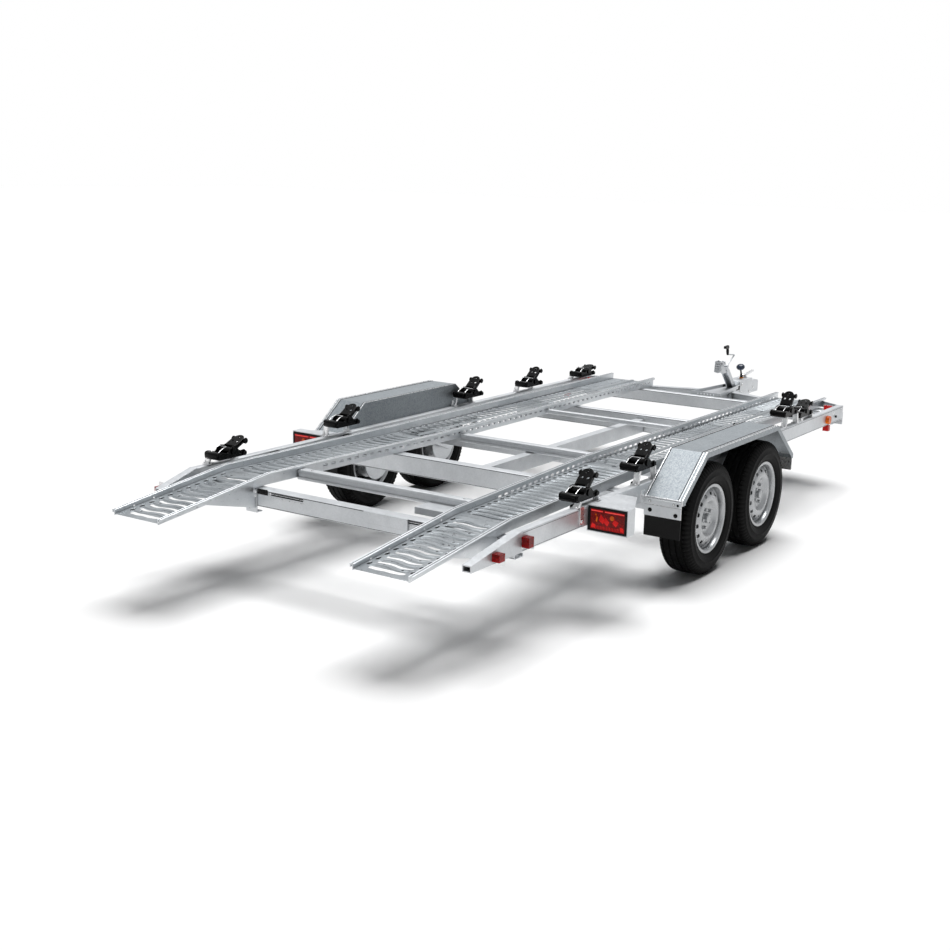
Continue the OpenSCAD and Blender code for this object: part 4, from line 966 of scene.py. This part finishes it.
def coupling():
    """The breakaway knob, the safety ring, the clamp and the bolts at the drawbar's head."""
    cap = knob_mesh([(0, 0.064), (0.0125, 0.064), (0.0255, 0.073), (0.0318, 0.084), (0.03, 0.094), (0.0235, 0.1015),
                     (0.012, 0.106), (0, 0.1075)], 40, Matrix.Identity(4))
    for v in cap.vertices:    # ten finger hollows round its widest part
        if hypot(v.co.x, v.co.y) > 0.028:
            hollow = 1 - 0.035 * (0.5 + 0.5 * cos(10 * atan2(v.co.y, v.co.x)))
            v.co.x *= hollow
            v.co.y *= hollow
    lean = Matrix.Translation((0, 2.748, 0.536)) @ Matrix.Rotation(radians(19), 4, "X")
    cap.transform(lean)
    add("brake_knob_cap", smooth(cap), "blue_plastic", stands_for=("brake_knob",))
    stem = [(0, 0.002), (0.0105, 0.002), (0.0095, 0.02), (0.006, 0.034), (0.0058, 0.066), (0, 0.066)]
    add("brake_knob_stem", knob_mesh(stem, 24, lean), "black_steel")
    base = [(0, 0), (0.0155, 0), (0.0155, 0.005), (0.0125, 0.0085), (0, 0.0085)]
    add("brake_knob_base", knob_mesh(base, 28, Matrix.Translation((0, 2.748, 0.5322))), "brass")

    ring = tube_mesh([(0.0465, y, z) for z, y in circle(0.448, 2.79, 0.014, 20, 13 / 14)], 0.0032, 8, closed=True)
    hook = tube_mesh([(0.0465, 2.792, 0.462), (0.048, 2.8, 0.478), (0.045, 2.806, 0.5)], 0.0034)
    add("breakaway_ring", join([ring, hook]), "black_steel")
    jaw = rect(2.545, 2.6, 0.4705, 0.501, 0.004)
    add("head_clamp", join([side_mesh(jaw, [], x, x + 0.006, 0.001) for x in (-0.0565, 0.0505)]), "black_steel")
    bolts("housing_bolts", [(0.0525, 2.64, 0.44), (0.0525, 2.64, 0.5), (0.0525, 2.78, 0.44),
                            (0.0445, 2.86, 0.455)], OUTWARD, 0.0085, 0.007)


winch()
coupling()


# ---- bolts and small fittings on the frame

def small_fittings():
    on_rail = ((-1.18, 0.487), (-1.121, 0.487), (-1.86, 0.455), (-1.835, 0.455), (1.95, 0.5), (2.11, 0.5))
    bolts("rail_bolts", [(RAIL_FACE + LAYER, *p) for p in on_rail], OUTWARD, 0.007, 0.006)
    bolts("hanger_bolts", [(x, -1.8552, z) for x in (0.56, 0.59) for z in (0.44, 0.46)], REARWARD, 0.006, 0.005)
    on_deck = (-1.545, -0.78, -0.19, 0.768, 1.165, 2.085)
    bolts("deck_bolts", [(0.4655, y, 0.52) for y in on_deck], INWARD, 0.0065, 0.006)
    plates = [box_mesh((0.9855, y, z - 0.01), (1.019, y + 0.004, z + 0.046))
              for y, z in ((-2.053, 0.43), (-1.823, 0.452))]
    mirrored("marker_plates", join(plates), "bright_zinc")
    ridged = [(0, 0), (0.0075, 0), (0.0085, 0.0012), (0.0075, 0.0024), (0, 0.0024)]
    plugs = [knob_mesh(ridged, 20, aim((0.9853 + 0.002 * i, 2.005, 0.47), OUTWARD)) for i in range(4)]
    mirrored("rail_plugs", join(plugs), "black_plastic")


def painted_flange_shadows():
    """Painted shadow in dark strips: under the folded flanges of the cross beams, and along the outer rails' lips."""
    # painted shadow lines, at the top and near the bottom of each beam
    seams = []
    for y, z_top, z_low in ((-1.8503, 0.467, 0.39), (-0.8003, 0.476, 0.381), (1.1397, 0.478, 0.377),
                            (2.0597, 0.478, 0.405)):
        for z, tall in ((z_top, 0.0024), (z_low, 0.0016)):
            seams.append(box_mesh((-0.938, y - LAYER, z), (0.938, y + 0.001, z + tall)))
    add("beam_flange_shadows", join(seams), "shade_and_dark_joints")
    lines = [box_mesh((0.9846, y0, z), (0.9853, y1, z + 0.0016)) for y0, y1, z in (
        (-1.86, -1.31, 0.515), (0.73, 2.13, 0.515), (-1.86, -1.355, 0.437), (0.73, 2.13, 0.437))]
    mirrored("rail_lip_shadows", join(lines), "shade_and_dark_joints")


def front_reflectors():
    """Red reflectors that stand on the front cross beam, each on a small bracket."""
    # their red_bright finish glows: a painted glow, as reflectors are no lamps
    mirrored("front_reflectors", box_mesh((0.874, 2.084, 0.49), (0.926, 2.096, 0.519)), "red_bright")
    mirrored("front_reflector_brackets", join([box_mesh((0.868, 2.096, 0.484), (0.932, 2.099, 0.523)),
                                               box_mesh((0.868, 2.084, 0.484), (0.932, 2.099, 0.487))]), "bright_zinc")


small_fittings()
painted_flange_shadows()
front_reflectors()


# ---- stage and light

def make_stage():
    mesh = bpy.data.meshes.new("floor")
    half = 60.0
    mesh.from_pydata([(-half, -half, 0), (half, -half, 0), (half, half, 0), (-half, half, 0)], [], [(0, 1, 2, 3)])
    floor = bpy.data.objects.new("floor", mesh)
    floor.location.z = -0.0005
    scene.collection.objects.link(floor)
    n = Nodes("floor")
    set_inputs(n.bsdf, Base_Color=(0.93, 0.93, 0.93, 1), Roughness=0.9, Specular_IOR_Level=0.1)
    mesh.materials.append(n.mat)


def make_world():
    """White to the camera, a soft studio to mirror-like surfaces, and almost no light of its own."""
    world = bpy.data.worlds.new("studio")
    scene.world = world
    world.use_nodes = True
    tree = world.node_tree
    tree.nodes.clear()

    kinds = ("Background", "Background", "MixShader", "OutputWorld", "LightPath", "TexCoord", "SeparateXYZ", "Math",
             "ValToRGB", "Mix")
    white, glow, mix, out, path, coord, split, height, ramp, strength = (
        tree.nodes.new("ShaderNode" + kind) for kind in kinds)
    set_inputs(white, Color=(1, 1, 1, 1))
    strength.data_type = "FLOAT"
    strength.inputs[2].default_value = 0.02    # for diffuse rays
    strength.inputs[3].default_value = 0.85    # for glossy rays
    height.operation = "MULTIPLY_ADD"
    height.inputs[1].default_value = 0.5
    height.inputs[2].default_value = 0.5
    set_stops(ramp, [(at, (v, v * 1.01, v * 1.03)) for at, v in (
        (0.0, 0.22), (0.49, 0.38), (0.52, 0.85), (0.66, 0.5), (0.84, 0.8), (1.0, 1.0))])
    for a, output, b, socket in (
            (coord, "Generated", split, 0), (split, "Z", height, 0), (height, 0, ramp, 0), (ramp, 0, glow, "Color"),
            (path, "Is Glossy Ray", strength, 0), (strength, 0, glow, "Strength"), (path, "Is Camera Ray", mix, 0),
            (glow, 0, mix, 1), (white, 0, mix, 2), (mix, 0, out, 0)):
        tree.links.new(a.outputs[output], b.inputs[socket])


def make_suns():
    """A large soft key from above, and a weak low fill from the camera's side."""
    for name, energy, width, towards in (("key", 3.5, 38, (-0.06, 0.25, 1.0)), ("fill", 0.16, 70, (0.45, -1.0, 0.16))):
        sun = bpy.data.lights.new(name, "SUN")
        sun.energy = energy
        sun.angle = radians(width)
        obj = bpy.data.objects.new(name, sun)
        scene.collection.objects.link(obj)
        obj.rotation_euler = Vector(towards).to_track_quat("Z", "Y").to_euler()


make_camera()
make_stage()
make_world()
make_suns()
scene.view_settings.view_transform = "Standard"
